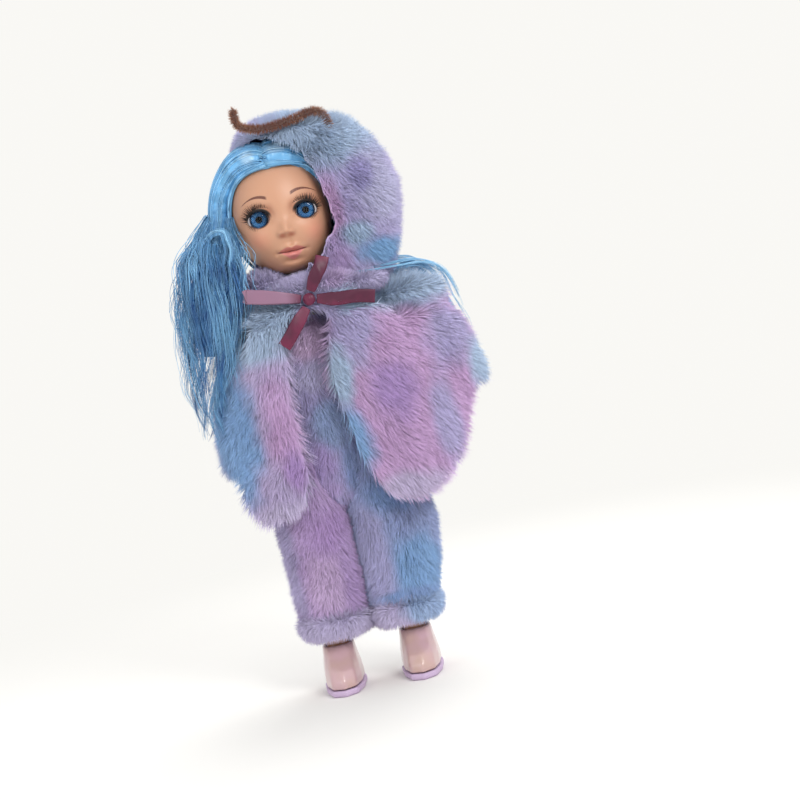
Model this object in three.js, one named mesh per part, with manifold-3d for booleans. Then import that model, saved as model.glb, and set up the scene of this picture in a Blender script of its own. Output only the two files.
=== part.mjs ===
// A 14-inch girl doll in a hooded faux-fur cape and a faux-fur romper, in millimetres, +Z up.
// The origin is on the floor under the middle of the whole doll. It faces -Y and its own left is +X.
// Below, x and y are counted from the trunk's axis, and the last lines move the doll onto the origin.
// Cloth and fur pieces are closed solids of the outer form, pile included, with their main folds.

import * as THREE from 'three';
import Module from 'manifold-3d';
import { mergeVertices } from 'three/addons/utils/BufferGeometryUtils.js';

const wasm = await Module();
wasm.setup();

// Clearances
const GAP = 0.4;
const SEAM_GAP = 0.3;

// Trunk: the hip axis is its lowest driving level, and everything above is stacked on it
const HIP_Z = 138;
const TRUNK_HEIGHT = 96;
const SHOULDER_DROP = 12;
const TRUNK_HALF_WIDTH = 25;
const TRUNK_HALF_DEPTH = 17;
const PELVIS_HALF_WIDTH = 13;
const TRUNK_WALL = 2.6;
const NECK_Y = 3;

// Arms: a flanged plug turns in the trunk's side, and the arm hangs outwards from it
const SHOULDER_Y = 4;
const SHOULDER_OUT = 7;
const SHOULDER_R = 9.3;
const UPPER_ARM_LENGTH = 38;
const FOREARM_LENGTH = 34;
const ARM_R = 7.4;
const WRIST_R = 4.6;
const HAND_R = 6.2;
const ELBOW_BEND = 25;
const SPLAY_LEFT = 50;
const SPLAY_RIGHT = 16;
const ARM_PLUG_R = 4;
const ARM_PLUG_DEPTH = 10;

// Legs: the top of each leg is a drum about the hip axis
const LEG_X = 24.5;
const THIGH_R = 13;
const THIGH_DRUM_WIDTH = 22;
const KNEE_R = 10;
const CALF_R = 10.4;
const ANKLE_R = 7.2;
const ANKLE_Z = 27;
const LEG_PLUG_R = 4.5;
const LEG_PLUG_DEPTH = 5.4;

// Shoes
const SOLE_THICKNESS = 4;
const SHOE_LENGTH = 50;
const SHOE_WIDTH = 25;
const SHOE_HEIGHT = 24;
const SHOE_WALL = 2;
const HEEL_Y = 17;

// Head and neck
const NECK_LENGTH = 24;
const NECK_R = 9.8;
const HEAD_HALF_WIDTH = 30.5;
const CHIN_DROP = 39;
const CROWN_RISE = 39;
const FACE_DEPTH = 33;
const OCCIPUT_DEPTH = 40;
const HEAD_WALL = 3;
const HEAD_TURN = 3;
const EYE_X = 14.4;
const EYE_DROP = 3.2;
const EYE_INSET = 2.6;
const EYEBALL_R = 8.5;
const EYELID_WIDTH = 13.4;
const EYELID_HEIGHT = 10.4;
const IRIS_D = 10.3;
const IRIS_THICKNESS = 0.6;
const CORNEA_RISE = 3.6;
const LASH_LENGTH = 2.6;
const HAIR_THICKNESS = 4;
const HAIRLINE_RISE = 26.5;
const FACE_HALF_WIDTH = 27;
const FACE_EDGE_Y = -1.7;
const NAPE_RISE = 7.3;

// Hood: a loose shell round the hair, with its opening turned towards the doll's right
const HOOD_X = 14;
const HOOD_Y = 10;
const HOOD_RISE = 5;
const HOOD_HALF_WIDTH = 57;
const HOOD_HALF_DEPTH = 50;
const HOOD_UP = 60;
const HOOD_DOWN = 72;
const HOOD_LEAN = 0.12;
const HOOD_THICKNESS = 8;
const HOOD_OPENING_TURN = 26;
const HOOD_RIM = [25, -32];
const HOOD_HEM_BELOW_CHIN = 8.7;

// Faux fur of the romper and the cape
const ROMPER_THICKNESS = 5.6;
const ROMPER_LEG_R = 21;
const ROMPER_LEG_HALF_WIDTH = 22.8;
const ROMPER_LEG_BULGE_LEFT = 8;
const SEAT_R = 20.5;
const CUFF_Z = 35;
const CUFF_HEIGHT = 12;
const CUFF_R = 23.4;
const CAPE_THICKNESS = 8;
const CAPE_HEM_Z = 105;
const CAPE_FRONT_Y = 33;
const CAPE_BACK_Y = 34;
const CAPE_FOLD = 2.6;
const CAPE_SIDE_CURVE = 0.0085;
const WING_TIP = 0.28;
const CLOTH_EDGE = 0.64;
const YOKE_HALF_WIDTH = 34;
const YOKE_NECK_R = 13.5;
const YOKE_TOP_BELOW_CHIN = 9.6;
const YOKE_SQUARENESS = 0.25;

// Bow of satin ribbon
const RIBBON_WIDTH = 8;
const RIBBON_THICKNESS = 1.4;
const KNOT_R = 5.2;

// Pipe-cleaner antenna
const ANTENNA_R = 3;
const ANTENNA_BELOW_TOP = 16;
const ANTENNA_BENDS = [[-28.3, 8, 15], [-26.7, 3, 5], [-16.6, -0.4, 0.5], [-9.2, -0.8, 0], [9.6, 0, 1],
  [21.6, 5, 4.4], [29, 7.5, 1.6], [32, 8.5, -7]];
const ANTENNA_TIE_BEND = 3;

// Levels that follow from the sizes above
const SHOULDER_Z = HIP_Z + TRUNK_HEIGHT - SHOULDER_DROP;
const NECK_BASE_Z = HIP_Z + TRUNK_HEIGHT;
const CHIN_Z = NECK_BASE_Z + NECK_LENGTH;
const HEAD_Z = CHIN_Z + CHIN_DROP;
const SHOULDER_X = TRUNK_HALF_WIDTH + SHOULDER_OUT;
const HEM_Z = CHIN_Z - HOOD_HEM_BELOW_CHIN;
const YOKE_TOP_Z = CHIN_Z - YOKE_TOP_BELOW_CHIN;
const YOKE_EDGE_Z = SHOULDER_Z + SHOULDER_R + 2 * GAP + CAPE_THICKNESS / 2;
const PANEL_TOP_Z = YOKE_EDGE_Z - (CAPE_THICKNESS / 2) * CLOTH_EDGE - SEAM_GAP;
const EYE_Y = -FACE_DEPTH * Math.sqrt(1 - (EYE_X / HEAD_HALF_WIDTH) ** 2) + EYEBALL_R + EYE_INSET;
const EYE_FLAT = EYEBALL_R - CORNEA_RISE;

// Mesh density
const ROUND = 12;
const TRUNK_ROUND = 18;
const HEAD_ROUND = 32;
const HEAD_LEVELS = 18;
const HOOD_ROUND = 22;
const HOOD_LEVELS = 13;
const FACE_CROWDING = 0.42;
const MERGE_DISTANCE = 1e-4;
const FAR = 300;

// Materials
const finish = (color, roughness, metalness = 0) => {
  return new THREE.MeshStandardMaterial({ color, roughness, metalness });
};
const VINYL = finish(0xd8a88c, 0.5);
const WHITE_ACRYLIC = finish(0xf2f2f0, 0.2);
const BLUE_ACRYLIC = finish(0x3d7ab5, 0.25);
const CLEAR_ACRYLIC = finish(0xe8f4ff, 0.05);
const LASH_HAIR = finish(0x1e1210, 0.7);
const HAIR = finish(0x6db4e0, 0.45);
const FUR_BLUE = finish(0x8db2dc, 0.9);
const FUR_LILAC = finish(0xc3b3dc, 0.9);
const FUR_PALE = finish(0xb8d0ea, 0.9);
const SATIN = finish(0x6e2b52, 0.35);
const CHENILLE = finish(0x6b4033, 0.9);
const PEARL = finish(0xd9b9d6, 0.3, 0.2);
const SOLE_PLASTIC = finish(0xb99ab8, 0.6);
const WHITE_PLASTIC = finish(0xe6ddd4, 0.5);

const radians = THREE.MathUtils.degToRad;
const bell = (value, centre, width) => Math.exp(-(((value - centre) / width) ** 2));
const point = (x, y, z) => new THREE.Vector3(x, y, z);

// Solids

// Merges shared corners, and turns the faces outwards if they point in.
function closed(geometry) {
  const bare = new THREE.BufferGeometry();
  bare.setAttribute('position', geometry.getAttribute('position').clone());
  if (geometry.index) bare.setIndex(geometry.index.clone());
  const merged = mergeVertices(bare, MERGE_DISTANCE);
  const corners = merged.getAttribute('position');
  const index = [];
  const [a, b, c] = [point(), point(), point()];
  let volume = 0;
  for (let i = 0; i < merged.index.count; i += 3) {
    const face = [0, 1, 2].map((k) => merged.index.getX(i + k));
    const thin = face[0] === face[1] || face[1] === face[2] || face[2] === face[0];
    if (!thin) {
      index.push(...face);
      a.fromBufferAttribute(corners, face[0]);
      b.fromBufferAttribute(corners, face[1]);
      c.fromBufferAttribute(corners, face[2]);
      volume += a.dot(b.cross(c));
    }
  }
  if (volume < 0) {
    for (let i = 0; i < index.length; i += 3) {
      [index[i], index[i + 1]] = [index[i + 1], index[i]];
    }
  }
  merged.setIndex(index);
  return merged;
}

function solid(geometry) {
  const body = closed(geometry);
  return new wasm.Manifold(new wasm.Mesh({
    numProp: 3,
    vertProperties: new Float32Array(body.getAttribute('position').array),
    triVerts: new Uint32Array(body.index.array),
  }));
}

function surface(manifold) {
  const mesh = manifold.getMesh();
  const geometry = new THREE.BufferGeometry();
  const corners = new Float32Array(mesh.numVert * 3);
  for (let i = 0; i < mesh.numVert; i += 1) {
    for (let k = 0; k < 3; k += 1) corners[3 * i + k] = mesh.vertProperties[mesh.numProp * i + k];
  }
  geometry.setAttribute('position', new THREE.BufferAttribute(corners, 3));
  geometry.setIndex(Array.from(mesh.triVerts));
  return geometry;
}

// Joins rings of points into one skin. Its ends are closed by a 'fan' or, where a ring is a folded
// sheet, by a 'strip' between its two sides. A 'looped' skin has no ends.
function loft(rings, ends = 'fan') {
  const count = rings[0].length;
  const corners = [];
  const index = [];
  rings.forEach((ring) => ring.forEach((p) => corners.push(p.x, p.y, p.z)));
  const spans = ends === 'looped' ? rings.length : rings.length - 1;
  for (let i = 0; i < spans; i += 1) {
    const here = i * count;
    const next = ((i + 1) % rings.length) * count;
    for (let k = 0; k < count; k += 1) {
      const side = (k + 1) % count;
      index.push(here + k, here + side, next + side, here + k, next + side, next + k);
    }
  }
  if (ends === 'strip') {
    [0, (rings.length - 1) * count].forEach((start, end) => {
      for (let k = 0; k < count / 2 - 1; k += 1) {
        const [a, b] = [start + k, start + k + 1];
        const [c, d] = [start + count - 2 - k, start + count - 1 - k];
        if (end) index.push(a, b, c, a, c, d);
        else index.push(a, c, b, a, d, c);
      }
    });
  }
  if (ends === 'fan') {
    [rings[0], rings[rings.length - 1]].forEach((ring, end) => {
      const middle = ring.reduce((sum, p) => sum.add(p), point()).divideScalar(count);
      const hub = corners.length / 3;
      corners.push(middle.x, middle.y, middle.z);
      const start = end ? (rings.length - 1) * count : 0;
      for (let k = 0; k < count; k += 1) {
        const side = (k + 1) % count;
        if (end) index.push(hub, start + k, start + side);
        else index.push(hub, start + side, start + k);
      }
    });
  }
  const geometry = new THREE.BufferGeometry();
  geometry.setAttribute('position', new THREE.BufferAttribute(new Float32Array(corners), 3));
  geometry.setIndex(index);
  return closed(geometry);
}

// A level oval with its own reach to each side: rows are [z, x, y, half width, front, back].
function oval([z, x, y, halfWidth, front, back], count = ROUND) {
  return Array.from({ length: count }, (_, k) => {
    const angle = (2 * Math.PI * k) / count;
    const depth = Math.sin(angle) < 0 ? front : back;
    return point(x + halfWidth * Math.cos(angle), y + depth * Math.sin(angle), z);
  });
}

// A tube of changing radius along a route, with rings square to it.
function limb(route, radii, flats, count = 14) {
  const curve = new THREE.CatmullRomCurve3(route);
  const steps = radii.length - 1;
  const frames = curve.computeFrenetFrames(steps, false);
  const rings = radii.map((radius, i) => {
    const middle = curve.getPointAt(i / steps);
    return Array.from({ length: count }, (_, k) => {
      const angle = (2 * Math.PI * k) / count;
      const p = middle.clone();
      p.addScaledVector(frames.normals[i], radius * Math.cos(angle));
      return p.addScaledVector(frames.binormals[i], radius * flats[i] * Math.sin(angle));
    });
  });
  return loft(rings);
}

// A sheet of cloth as a solid: the grid is its middle, and its edges are thinner than its middle.
function cloth(grid, thickness) {
  const rows = grid.length;
  const columns = grid[0].length;
  const rings = grid.map((row, i) => {
    const edgeRow = i === 0 || i === rows - 1;
    const front = [];
    const back = [];
    row.forEach((p, k) => {
      const along = grid[Math.min(i + 1, rows - 1)][k].clone().sub(grid[Math.max(i - 1, 0)][k]);
      const across = row[Math.min(k + 1, columns - 1)].clone().sub(row[Math.max(k - 1, 0)]);
      const edge = edgeRow || k === 0 || k === columns - 1;
      const half = (thickness / 2) * (edge ? CLOTH_EDGE : 1);
      const normal = across.cross(along).normalize().multiplyScalar(half);
      front.push(p.clone().add(normal));
      back.unshift(p.clone().sub(normal));
    });
    return [...front, ...back];
  });
  return loft(rings, 'strip');
}

// A turned solid about the X axis through a point: the profile is [x, radius] pairs from axis to axis.
function turnedAboutX(profile, y, z, count = TRUNK_ROUND) {
  const geometry = new THREE.LatheGeometry(profile.map(([x, r]) => new THREE.Vector2(r, x)), count);
  geometry.rotateZ(-Math.PI / 2);
  return geometry.translate(0, y, z);
}

function turnedAboutZ(profile, x, y, count = TRUNK_ROUND) {
  const geometry = new THREE.LatheGeometry(profile.map(([r, z]) => new THREE.Vector2(r, z)), count);
  geometry.rotateX(Math.PI / 2);
  return geometry.translate(x, y, 0);
}

function box(low, high) {
  const size = high.clone().sub(low);
  const middle = low.clone().add(high).multiplyScalar(0.5);
  return new THREE.BoxGeometry(size.x, size.y, size.z).translate(middle.x, middle.y, middle.z);
}

const cut = (body, ...tools) => tools.reduce((rest, tool) => rest.subtract(solid(tool)), body);
const mirrored = (geometry) => closed(geometry.clone().scale(-1, 1, 1));
const onSide = (geometry, side) => (side > 0 ? geometry : mirrored(geometry));

// Reads a value from rows of [place, value], in straight lines between neighbours.
function between(rows, place) {
  const next = rows.findIndex(([start]) => start > place);
  if (next === 0) return rows[0][1];
  if (next < 0) return rows[rows.length - 1][1];
  const [[start, low], [end, high]] = [rows[next - 1], rows[next]];
  return low + (high - low) * ((place - start) / (end - start));
}

// Assembly: each mesh is one node
const doll = new THREE.Group();
doll.name = 'doll';

function add(name, geometry, material, parent = doll) {
  geometry.computeVertexNormals();
  const mesh = new THREE.Mesh(geometry, material);
  mesh.name = name;
  parent.add(mesh);
  return mesh;
}

// Trunk

// Rows of [height over the hip axis, half width, front, back], grown outwards for the clothes.
function trunkRings(grow, fromHeight = -FAR, toHeight = FAR) {
  const belly = TRUNK_HALF_DEPTH;
  const rows = [
    [-THIGH_R - 4, 5, 6, 6],
    [-THIGH_R - 1, PELVIS_HALF_WIDTH - 2.5, belly - 6, belly - 5],
    [-THIGH_R / 2, PELVIS_HALF_WIDTH - 0.3, belly - 2.5, belly - 1.5],
    [SEAT_R + GAP, PELVIS_HALF_WIDTH, belly - 0.4, belly],
    [SEAT_R + 1.8, TRUNK_HALF_WIDTH - 3, belly, belly],
    [TRUNK_HEIGHT * 0.34, TRUNK_HALF_WIDTH - 2.2, belly + 0.5, belly - 0.5],
    [TRUNK_HEIGHT * 0.54, TRUNK_HALF_WIDTH - 1, belly + 0.8, belly],
    [TRUNK_HEIGHT * 0.75, TRUNK_HALF_WIDTH, belly + 0.5, belly + 0.5],
    [TRUNK_HEIGHT - SHOULDER_DROP, TRUNK_HALF_WIDTH - 0.4, belly - 0.5, belly],
    [TRUNK_HEIGHT - 5, TRUNK_HALF_WIDTH - 5, belly - 3, belly - 3],
    [TRUNK_HEIGHT, NECK_R + 3.4, NECK_R + 2.8, NECK_R + 2.8],
  ];
  const kept = rows.filter(([height]) => height >= fromHeight && height <= toHeight);
  return kept.map(([height, halfWidth, front, back]) => {
    const y = NECK_Y * THREE.MathUtils.smoothstep(height, TRUNK_HEIGHT / 3, TRUNK_HEIGHT);
    return oval([HIP_Z + height, 0, y, halfWidth + grow, front + grow, back + grow], TRUNK_ROUND);
  });
}

function trunkShells() {
  const inside = trunkRings(-TRUNK_WALL);
  // The inside's floors and ceiling lie a wall further in than the outside's.
  inside.forEach((ring, i) => {
    const up = i < 2 || i === 3 || i === 4 ? TRUNK_WALL : 0;
    const down = i > inside.length - 3 ? TRUNK_WALL : 0;
    ring.forEach((p) => { p.z += up - down; });
  });
  const holes = [1, -1].flatMap((side) => {
    const shoulder = [[0, 0], [0, ARM_PLUG_R + GAP], [FAR, ARM_PLUG_R + GAP], [FAR, 0]];
    const hip = [[0, 0], [0, LEG_PLUG_R + GAP], [FAR, LEG_PLUG_R + GAP], [FAR, 0]];
    return [
      onSide(turnedAboutX(shoulder, SHOULDER_Y, SHOULDER_Z, 12), side),
      onSide(turnedAboutX(hip, 0, HIP_Z, 12), side),
    ];
  });
  const neckHole = [[0, HIP_Z], [NECK_R - 2 + GAP, HIP_Z], [NECK_R - 2 + GAP, FAR], [0, FAR]];
  const wall = cut(solid(loft(trunkRings(0))), loft(inside), ...holes,
    turnedAboutZ(neckHole, 0, NECK_Y, ROUND));
  const half = SEAM_GAP / 2;
  const front = wall.intersect(solid(box(point(-FAR, -FAR, 0), point(FAR, -half, FAR))));
  const back = wall.intersect(solid(box(point(-FAR, half, 0), point(FAR, FAR, FAR))));
  add('torso_front_shell', surface(front), WHITE_PLASTIC);
  add('torso_back_shell', surface(back), WHITE_PLASTIC);
}

// The post stands in the trunk on a flange, and a second flange inside the head keeps the head on.
function neckPost() {
  const ceiling = NECK_BASE_Z - TRUNK_WALL - GAP;
  const flangeShare = (NECK_R + 2.6) / (HEAD_HALF_WIDTH - HEAD_WALL);
  const floor = HEAD_Z - (CHIN_DROP - HEAD_WALL) * Math.sqrt(1 - flangeShare ** 2);
  const flange = floor + GAP;
  const profile = [
    [0, ceiling - 2.4], [NECK_R - 0.6, ceiling - 2.4], [NECK_R - 0.6, ceiling], [NECK_R - 2, ceiling],
    [NECK_R - 2, NECK_BASE_Z + SEAM_GAP], [NECK_R + 1.4, NECK_BASE_Z + SEAM_GAP],
    [NECK_R, NECK_BASE_Z + 5], [NECK_R, flange], [NECK_R + 2.6, flange], [NECK_R + 2.2, flange + 2],
    [NECK_R - 3, flange + 4], [0, flange + 4.4],
  ];
  add('neck_post', closed(turnedAboutZ(profile, 0, NECK_Y, ROUND)), VINYL);
}

// Limbs

// The route of one arm in the trunk's frame, on the doll's left.
function armRoute(splay) {
  const down = point(Math.sin(radians(splay)), 0, -Math.cos(radians(splay)));
  const fore = down.clone().multiplyScalar(Math.cos(radians(ELBOW_BEND)));
  fore.y -= Math.sin(radians(ELBOW_BEND));
  const shoulder = point(SHOULDER_X, SHOULDER_Y, SHOULDER_Z);
  const elbow = shoulder.clone().addScaledVector(down, UPPER_ARM_LENGTH);
  return { shoulder, elbow, hand: elbow.clone().addScaledVector(fore, FOREARM_LENGTH) };
}

// The arm's form, grown outwards where clothes need room for it, from the trunk's side on.
function armForm(splay, grow) {
  const { shoulder, elbow, hand } = armRoute(splay);
  const radii = [SHOULDER_R - 1.4, ARM_R + 0.3, ARM_R, ARM_R - 0.5, ARM_R - 0.6, ARM_R - 1.2, WRIST_R,
    HAND_R, HAND_R, HAND_R * 0.45].map((radius) => radius + grow);
  const flats = [1, 1, 1, 1, 1, 1, 0.9, 0.62, 0.6, 0.6];
  const straight = limb([shoulder, elbow, hand], radii, flats, 10);
  const ball = new THREE.SphereGeometry(SHOULDER_R + grow, 12, 8).translate(...shoulder.toArray());
  const keep = box(point(TRUNK_HALF_WIDTH + GAP - grow, -FAR, 0), point(FAR, FAR, FAR));
  return solid(straight).add(solid(ball)).intersect(solid(keep));
}

function arm(name, side, splay) {
  add(name, onSide(surface(armForm(splay, 0)), side), VINYL);
}

// A plug has its flange inside the trunk, at a depth from the wall's outside, and its shaft comes out
// through the wall up to the limb's flat face.
function plug(name, side, wallX, depth, shaftR, y, z) {
  const inner = wallX - depth;
  const flangeR = shaftR + 1.8;
  const profile = [[inner - 2.4, 0], [inner - 2.4, flangeR], [inner, flangeR], [inner, shaftR],
    [wallX + 0.1, shaftR], [wallX + 0.1, 0]];
  add(name, onSide(closed(turnedAboutX(profile, y, z, 12)), side), WHITE_PLASTIC);
}

// The leg below the hip, as level ovals: the foot's own rings end it inside the shoe.
function legRings(grow) {
  const rows = [
    [HIP_Z, LEG_X, 0, THIGH_R - 2.4, THIGH_R - 0.6, THIGH_R - 0.6],
    [HIP_Z - 18, LEG_X, 0, THIGH_R - 2.4, THIGH_R - 0.8, THIGH_R - 0.8],
    [HIP_Z - 40, LEG_X, 0, KNEE_R + 1, KNEE_R + 1, KNEE_R + 1],
    [HIP_Z * 0.57, LEG_X, 0, KNEE_R - 0.6, KNEE_R, KNEE_R - 0.6],
    [HIP_Z * 0.44, LEG_X, 0, CALF_R, CALF_R - 0.6, CALF_R + 0.8],
    [ANKLE_Z + 12, LEG_X, 0, ANKLE_R + 1, ANKLE_R + 0.6, ANKLE_R + 1],
    [ANKLE_Z, LEG_X, 0, ANKLE_R, ANKLE_R, ANKLE_R],
  ];
  return rows.map(([z, x, y, ...reach]) => oval([z, x, y, ...reach.map((r) => r + grow)]));
}

// The shoe's outline at a share of its height, shrunk by an inset.
function shoeRing(share, z, inset, count = ROUND) {
  const toe = SHOE_LENGTH - HEEL_Y;
  const half = SHOE_WIDTH / 2;
  const tongue = THREE.MathUtils.lerp(toe, ANKLE_R + 3.4, THREE.MathUtils.smoothstep(share, 0.25, 1));
  const width = THREE.MathUtils.lerp(half, ANKLE_R + 3, THREE.MathUtils.smoothstep(share, 0.2, 1));
  const back = THREE.MathUtils.lerp(HEEL_Y, ANKLE_R + 3.6, THREE.MathUtils.smoothstep(share, 0.1, 1));
  return Array.from({ length: count }, (_, k) => {
    const angle = (2 * Math.PI * k) / count;
    const [c, s] = [Math.cos(angle), Math.sin(angle)];
    const square = Math.sign(c) * Math.abs(c) ** 0.72;
    const reach = s < 0 ? tongue : back;
    return point(LEG_X + (width - inset) * square, (reach - inset) * s, z);
  });
}

const SHOE_STEPS = [0, 0.2, 0.45, 0.7, 1];

function leg(name, side) {
  const inset = SHOE_WALL + GAP;
  const base = SOLE_THICKNESS + 2 * SEAM_GAP;
  const top = SOLE_THICKNESS + SHOE_HEIGHT * 0.7;
  const foot = loft(SHOE_STEPS.slice(0, -1).map((share) => {
    const z = SOLE_THICKNESS + SEAM_GAP + share * SHOE_HEIGHT;
    return shoeRing(share, Math.max(z, base), inset);
  }));
  const shin = loft([...legRings(0), oval([top - 2, LEG_X, 0, ANKLE_R - 0.2, ANKLE_R, ANKLE_R])]);
  const inner = PELVIS_HALF_WIDTH + GAP;
  const drum = turnedAboutX([[inner, 0], [inner, THIGH_R - 0.8], [inner + 0.8, THIGH_R],
    [inner + THIGH_DRUM_WIDTH - 3, THIGH_R], [inner + THIGH_DRUM_WIDTH, THIGH_R - 4],
    [inner + THIGH_DRUM_WIDTH + 0.6, 0]], 0, HIP_Z);
  add(name, onSide(surface(solid(shin).add(solid(foot)).add(solid(drum))), side), VINYL);
}

function shoe(side, word) {
  const base = SOLE_THICKNESS + SEAM_GAP;
  const skin = (inset, low, high) => loft(SHOE_STEPS.map((share) => {
    return shoeRing(share, THREE.MathUtils.lerp(low, high, share), inset);
  }));
  const high = base + SHOE_HEIGHT;
  const rise = MERGE_DISTANCE * FAR;
  const outer = solid(skin(0, base, high));
  const inner = skin(SHOE_WALL, base - rise, high + rise);
  add(`shoe_${word}`, onSide(surface(cut(outer, inner)), side), PEARL);
  const rings = [[0, 1.2], [1, 0], [SOLE_THICKNESS, 0]].map(([z, inset]) => shoeRing(0, z, inset - 0.8));
  add(`shoe_sole_${word}`, onSide(loft(rings), side), SOLE_PLASTIC);
}

// Romper

function bodice() {
  const low = SEAT_R + 2.2;
  const outerRings = trunkRings(GAP + ROMPER_THICKNESS, low, TRUNK_HEIGHT - 1);
  const bottom = outerRings[0].map((p) => point(p.x, p.y, HIP_Z + low));
  const top = trunkRings(GAP + ROMPER_THICKNESS, TRUNK_HEIGHT)[0];
  const neckline = top.map((p) => point(p.x, p.y, NECK_BASE_Z - SEAM_GAP));
  const body = solid(loft([bottom, ...outerRings, neckline]));
  const holes = [[1, SPLAY_LEFT], [-1, SPLAY_RIGHT]].map(([side, splay]) => onSide(armSweep(splay), side));
  const shell = cut(body, loft(trunkRings(GAP)), ...holes);
  const front = shell.intersect(solid(box(point(-FAR, -FAR, 0), point(FAR, -SEAM_GAP / 2, FAR))));
  add('romper_front', surface(front), FUR_LILAC);
  [['left', SEAM_GAP / 2, FAR], ['right', -FAR, -SEAM_GAP / 2]].forEach(([word, from, to]) => {
    const panel = shell.intersect(solid(box(point(from, SEAM_GAP / 2, 0), point(to, FAR, FAR))));
    add(`romper_back_${word}`, surface(panel), FUR_LILAC);
  });
}

// The space that an arm of one splay turns through about the shoulder's axis, with its clearance.
function armSweep(splay) {
  const slope = Math.tan(radians(splay));
  const reach = 60;
  const inner = (r) => {
    const flank = SHOULDER_X + r * slope - ARM_R / Math.cos(radians(splay)) - GAP;
    return Math.max(flank, TRUNK_HALF_WIDTH + GAP);
  };
  const rim = SHOULDER_R + GAP;
  const face = TRUNK_HALF_WIDTH + GAP / 2;
  const hole = ARM_PLUG_R + GAP;
  const profile = [[0, 0], [0, hole], [face, hole], [face, rim], [inner(rim), rim + 0.01], [inner(20), 20],
    [inner(reach), reach], [FAR, reach], [FAR, 0]];
  const sweep = solid(turnedAboutX(profile, SHOULDER_Y, SHOULDER_Z));
  const ceiling = SHOULDER_Z + SHOULDER_R + GAP;
  return surface(sweep.intersect(solid(box(point(0, -FAR, 0), point(FAR, FAR, ceiling)))));
}

// The gusset is a saddle between the legs, inside the radius that the trouser legs turn round.
function gusset() {
  const half = PELVIS_HALF_WIDTH;
  const saddle = turnedAboutX([[-half, 0], [-half, SEAT_R], [half, SEAT_R], [half, 0]], 0, HIP_Z);
  const above = box(point(-FAR, -FAR, HIP_Z + THIGH_R * 0.6), point(FAR, FAR, FAR));
  const r = LEG_PLUG_R + GAP;
  const plugs = turnedAboutX([[-FAR, 0], [-FAR, r], [FAR, r], [FAR, 0]], 0, HIP_Z, 12);
  const body = cut(solid(saddle), loft(trunkRings(GAP)), above, plugs);
  add('romper_gusset', surface(body), FUR_LILAC);
}

function romperLeg(side, word, bulge) {
  const top = HIP_Z - SEAT_R;
  const low = CUFF_Z + CUFF_HEIGHT + SEAM_GAP;
  const steps = [0, 0.12, 0.3, 0.5, 0.7, 0.88, 1];
  const rings = steps.map((share) => {
    const z = THREE.MathUtils.lerp(low, HIP_Z, share);
    const ring = oval([z, LEG_X, 0, ROMPER_LEG_HALF_WIDTH, ROMPER_LEG_R, ROMPER_LEG_R], TRUNK_ROUND);
    ring.forEach((p) => {
      const outward = Math.max(0, (p.x - LEG_X) / ROMPER_LEG_HALF_WIDTH);
      p.x += outward * bulge * bell(z, (low + top) / 2 + 10, 32);
      const pull = 1 - 0.05 * bell(share, 0, 0.12);
      p.x = LEG_X + (p.x - LEG_X) * pull;
      p.y *= pull;
    });
    return ring;
  });
  const inner = PELVIS_HALF_WIDTH + GAP;
  const outer = LEG_X + ROMPER_LEG_R;
  const cap = turnedAboutX([[inner, 0], [inner, SEAT_R], [outer - 9, SEAT_R], [outer - 3, SEAT_R * 0.8],
    [outer, SEAT_R * 0.45], [outer + 0.6, 0]], 0, HIP_Z);
  const seatRoom = turnedAboutX([[-FAR, 0], [-FAR, SEAT_R + 2 * GAP], [inner, SEAT_R + 2 * GAP],
    [inner, 0]], 0, HIP_Z);
  const drumRoom = turnedAboutX([[0, 0], [0, THIGH_R + GAP], [inner + THIGH_DRUM_WIDTH - 3, THIGH_R + GAP],
    [inner + THIGH_DRUM_WIDTH + 1, THIGH_R - 3.2], [inner + THIGH_DRUM_WIDTH + 1, 0]], 0, HIP_Z);
  const shinRoom = loft(legRings(GAP));
  const whole = cut(solid(loft(rings)).add(solid(cap)), seatRoom, drumRoom, shinRoom);
  add(`romper_leg_${word}`, onSide(surface(whole), side), side > 0 ? FUR_BLUE : FUR_LILAC);
}

function cuff(side, word) {
  const bore = CALF_R + 1.4;
  const middle = (CUFF_R + bore) / 2;
  const profile = [[bore, 3], [bore + 2, 0], [middle, 0], [CUFF_R - 2, 0.6], [CUFF_R, 4], [CUFF_R, 8],
    [CUFF_R - 2.5, CUFF_HEIGHT], [bore + 2, CUFF_HEIGHT], [bore, CUFF_HEIGHT - 3], [bore, 3]];
  const ring = turnedAboutZ(profile.map(([r, z]) => [r, z + CUFF_Z]), LEG_X, 0, ROUND);
  add(`cuff_${word}`, onSide(closed(ring), side), FUR_PALE);
}

// Cape

// A point on the yoke's middle: share 0 is at the neck and 1 at the rim, angle 0 is the doll's left.
function yokePoint(angle, share) {
  const [c, s] = [Math.cos(angle), Math.sin(angle)];
  const square = (value) => Math.sign(value) * Math.abs(value) ** (2 * YOKE_SQUARENESS);
  const depth = s < 0 ? CAPE_FRONT_Y : CAPE_BACK_Y;
  const neck = point(YOKE_NECK_R * c, NECK_Y + YOKE_NECK_R * s, 0);
  const rim = point(YOKE_HALF_WIDTH * square(c), depth * square(s), 0);
  const p = neck.lerp(rim, share);
  p.z = THREE.MathUtils.lerp(YOKE_TOP_Z - CAPE_THICKNESS / 2, YOKE_EDGE_Z, share ** 1.6);
  return p;
}

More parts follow.
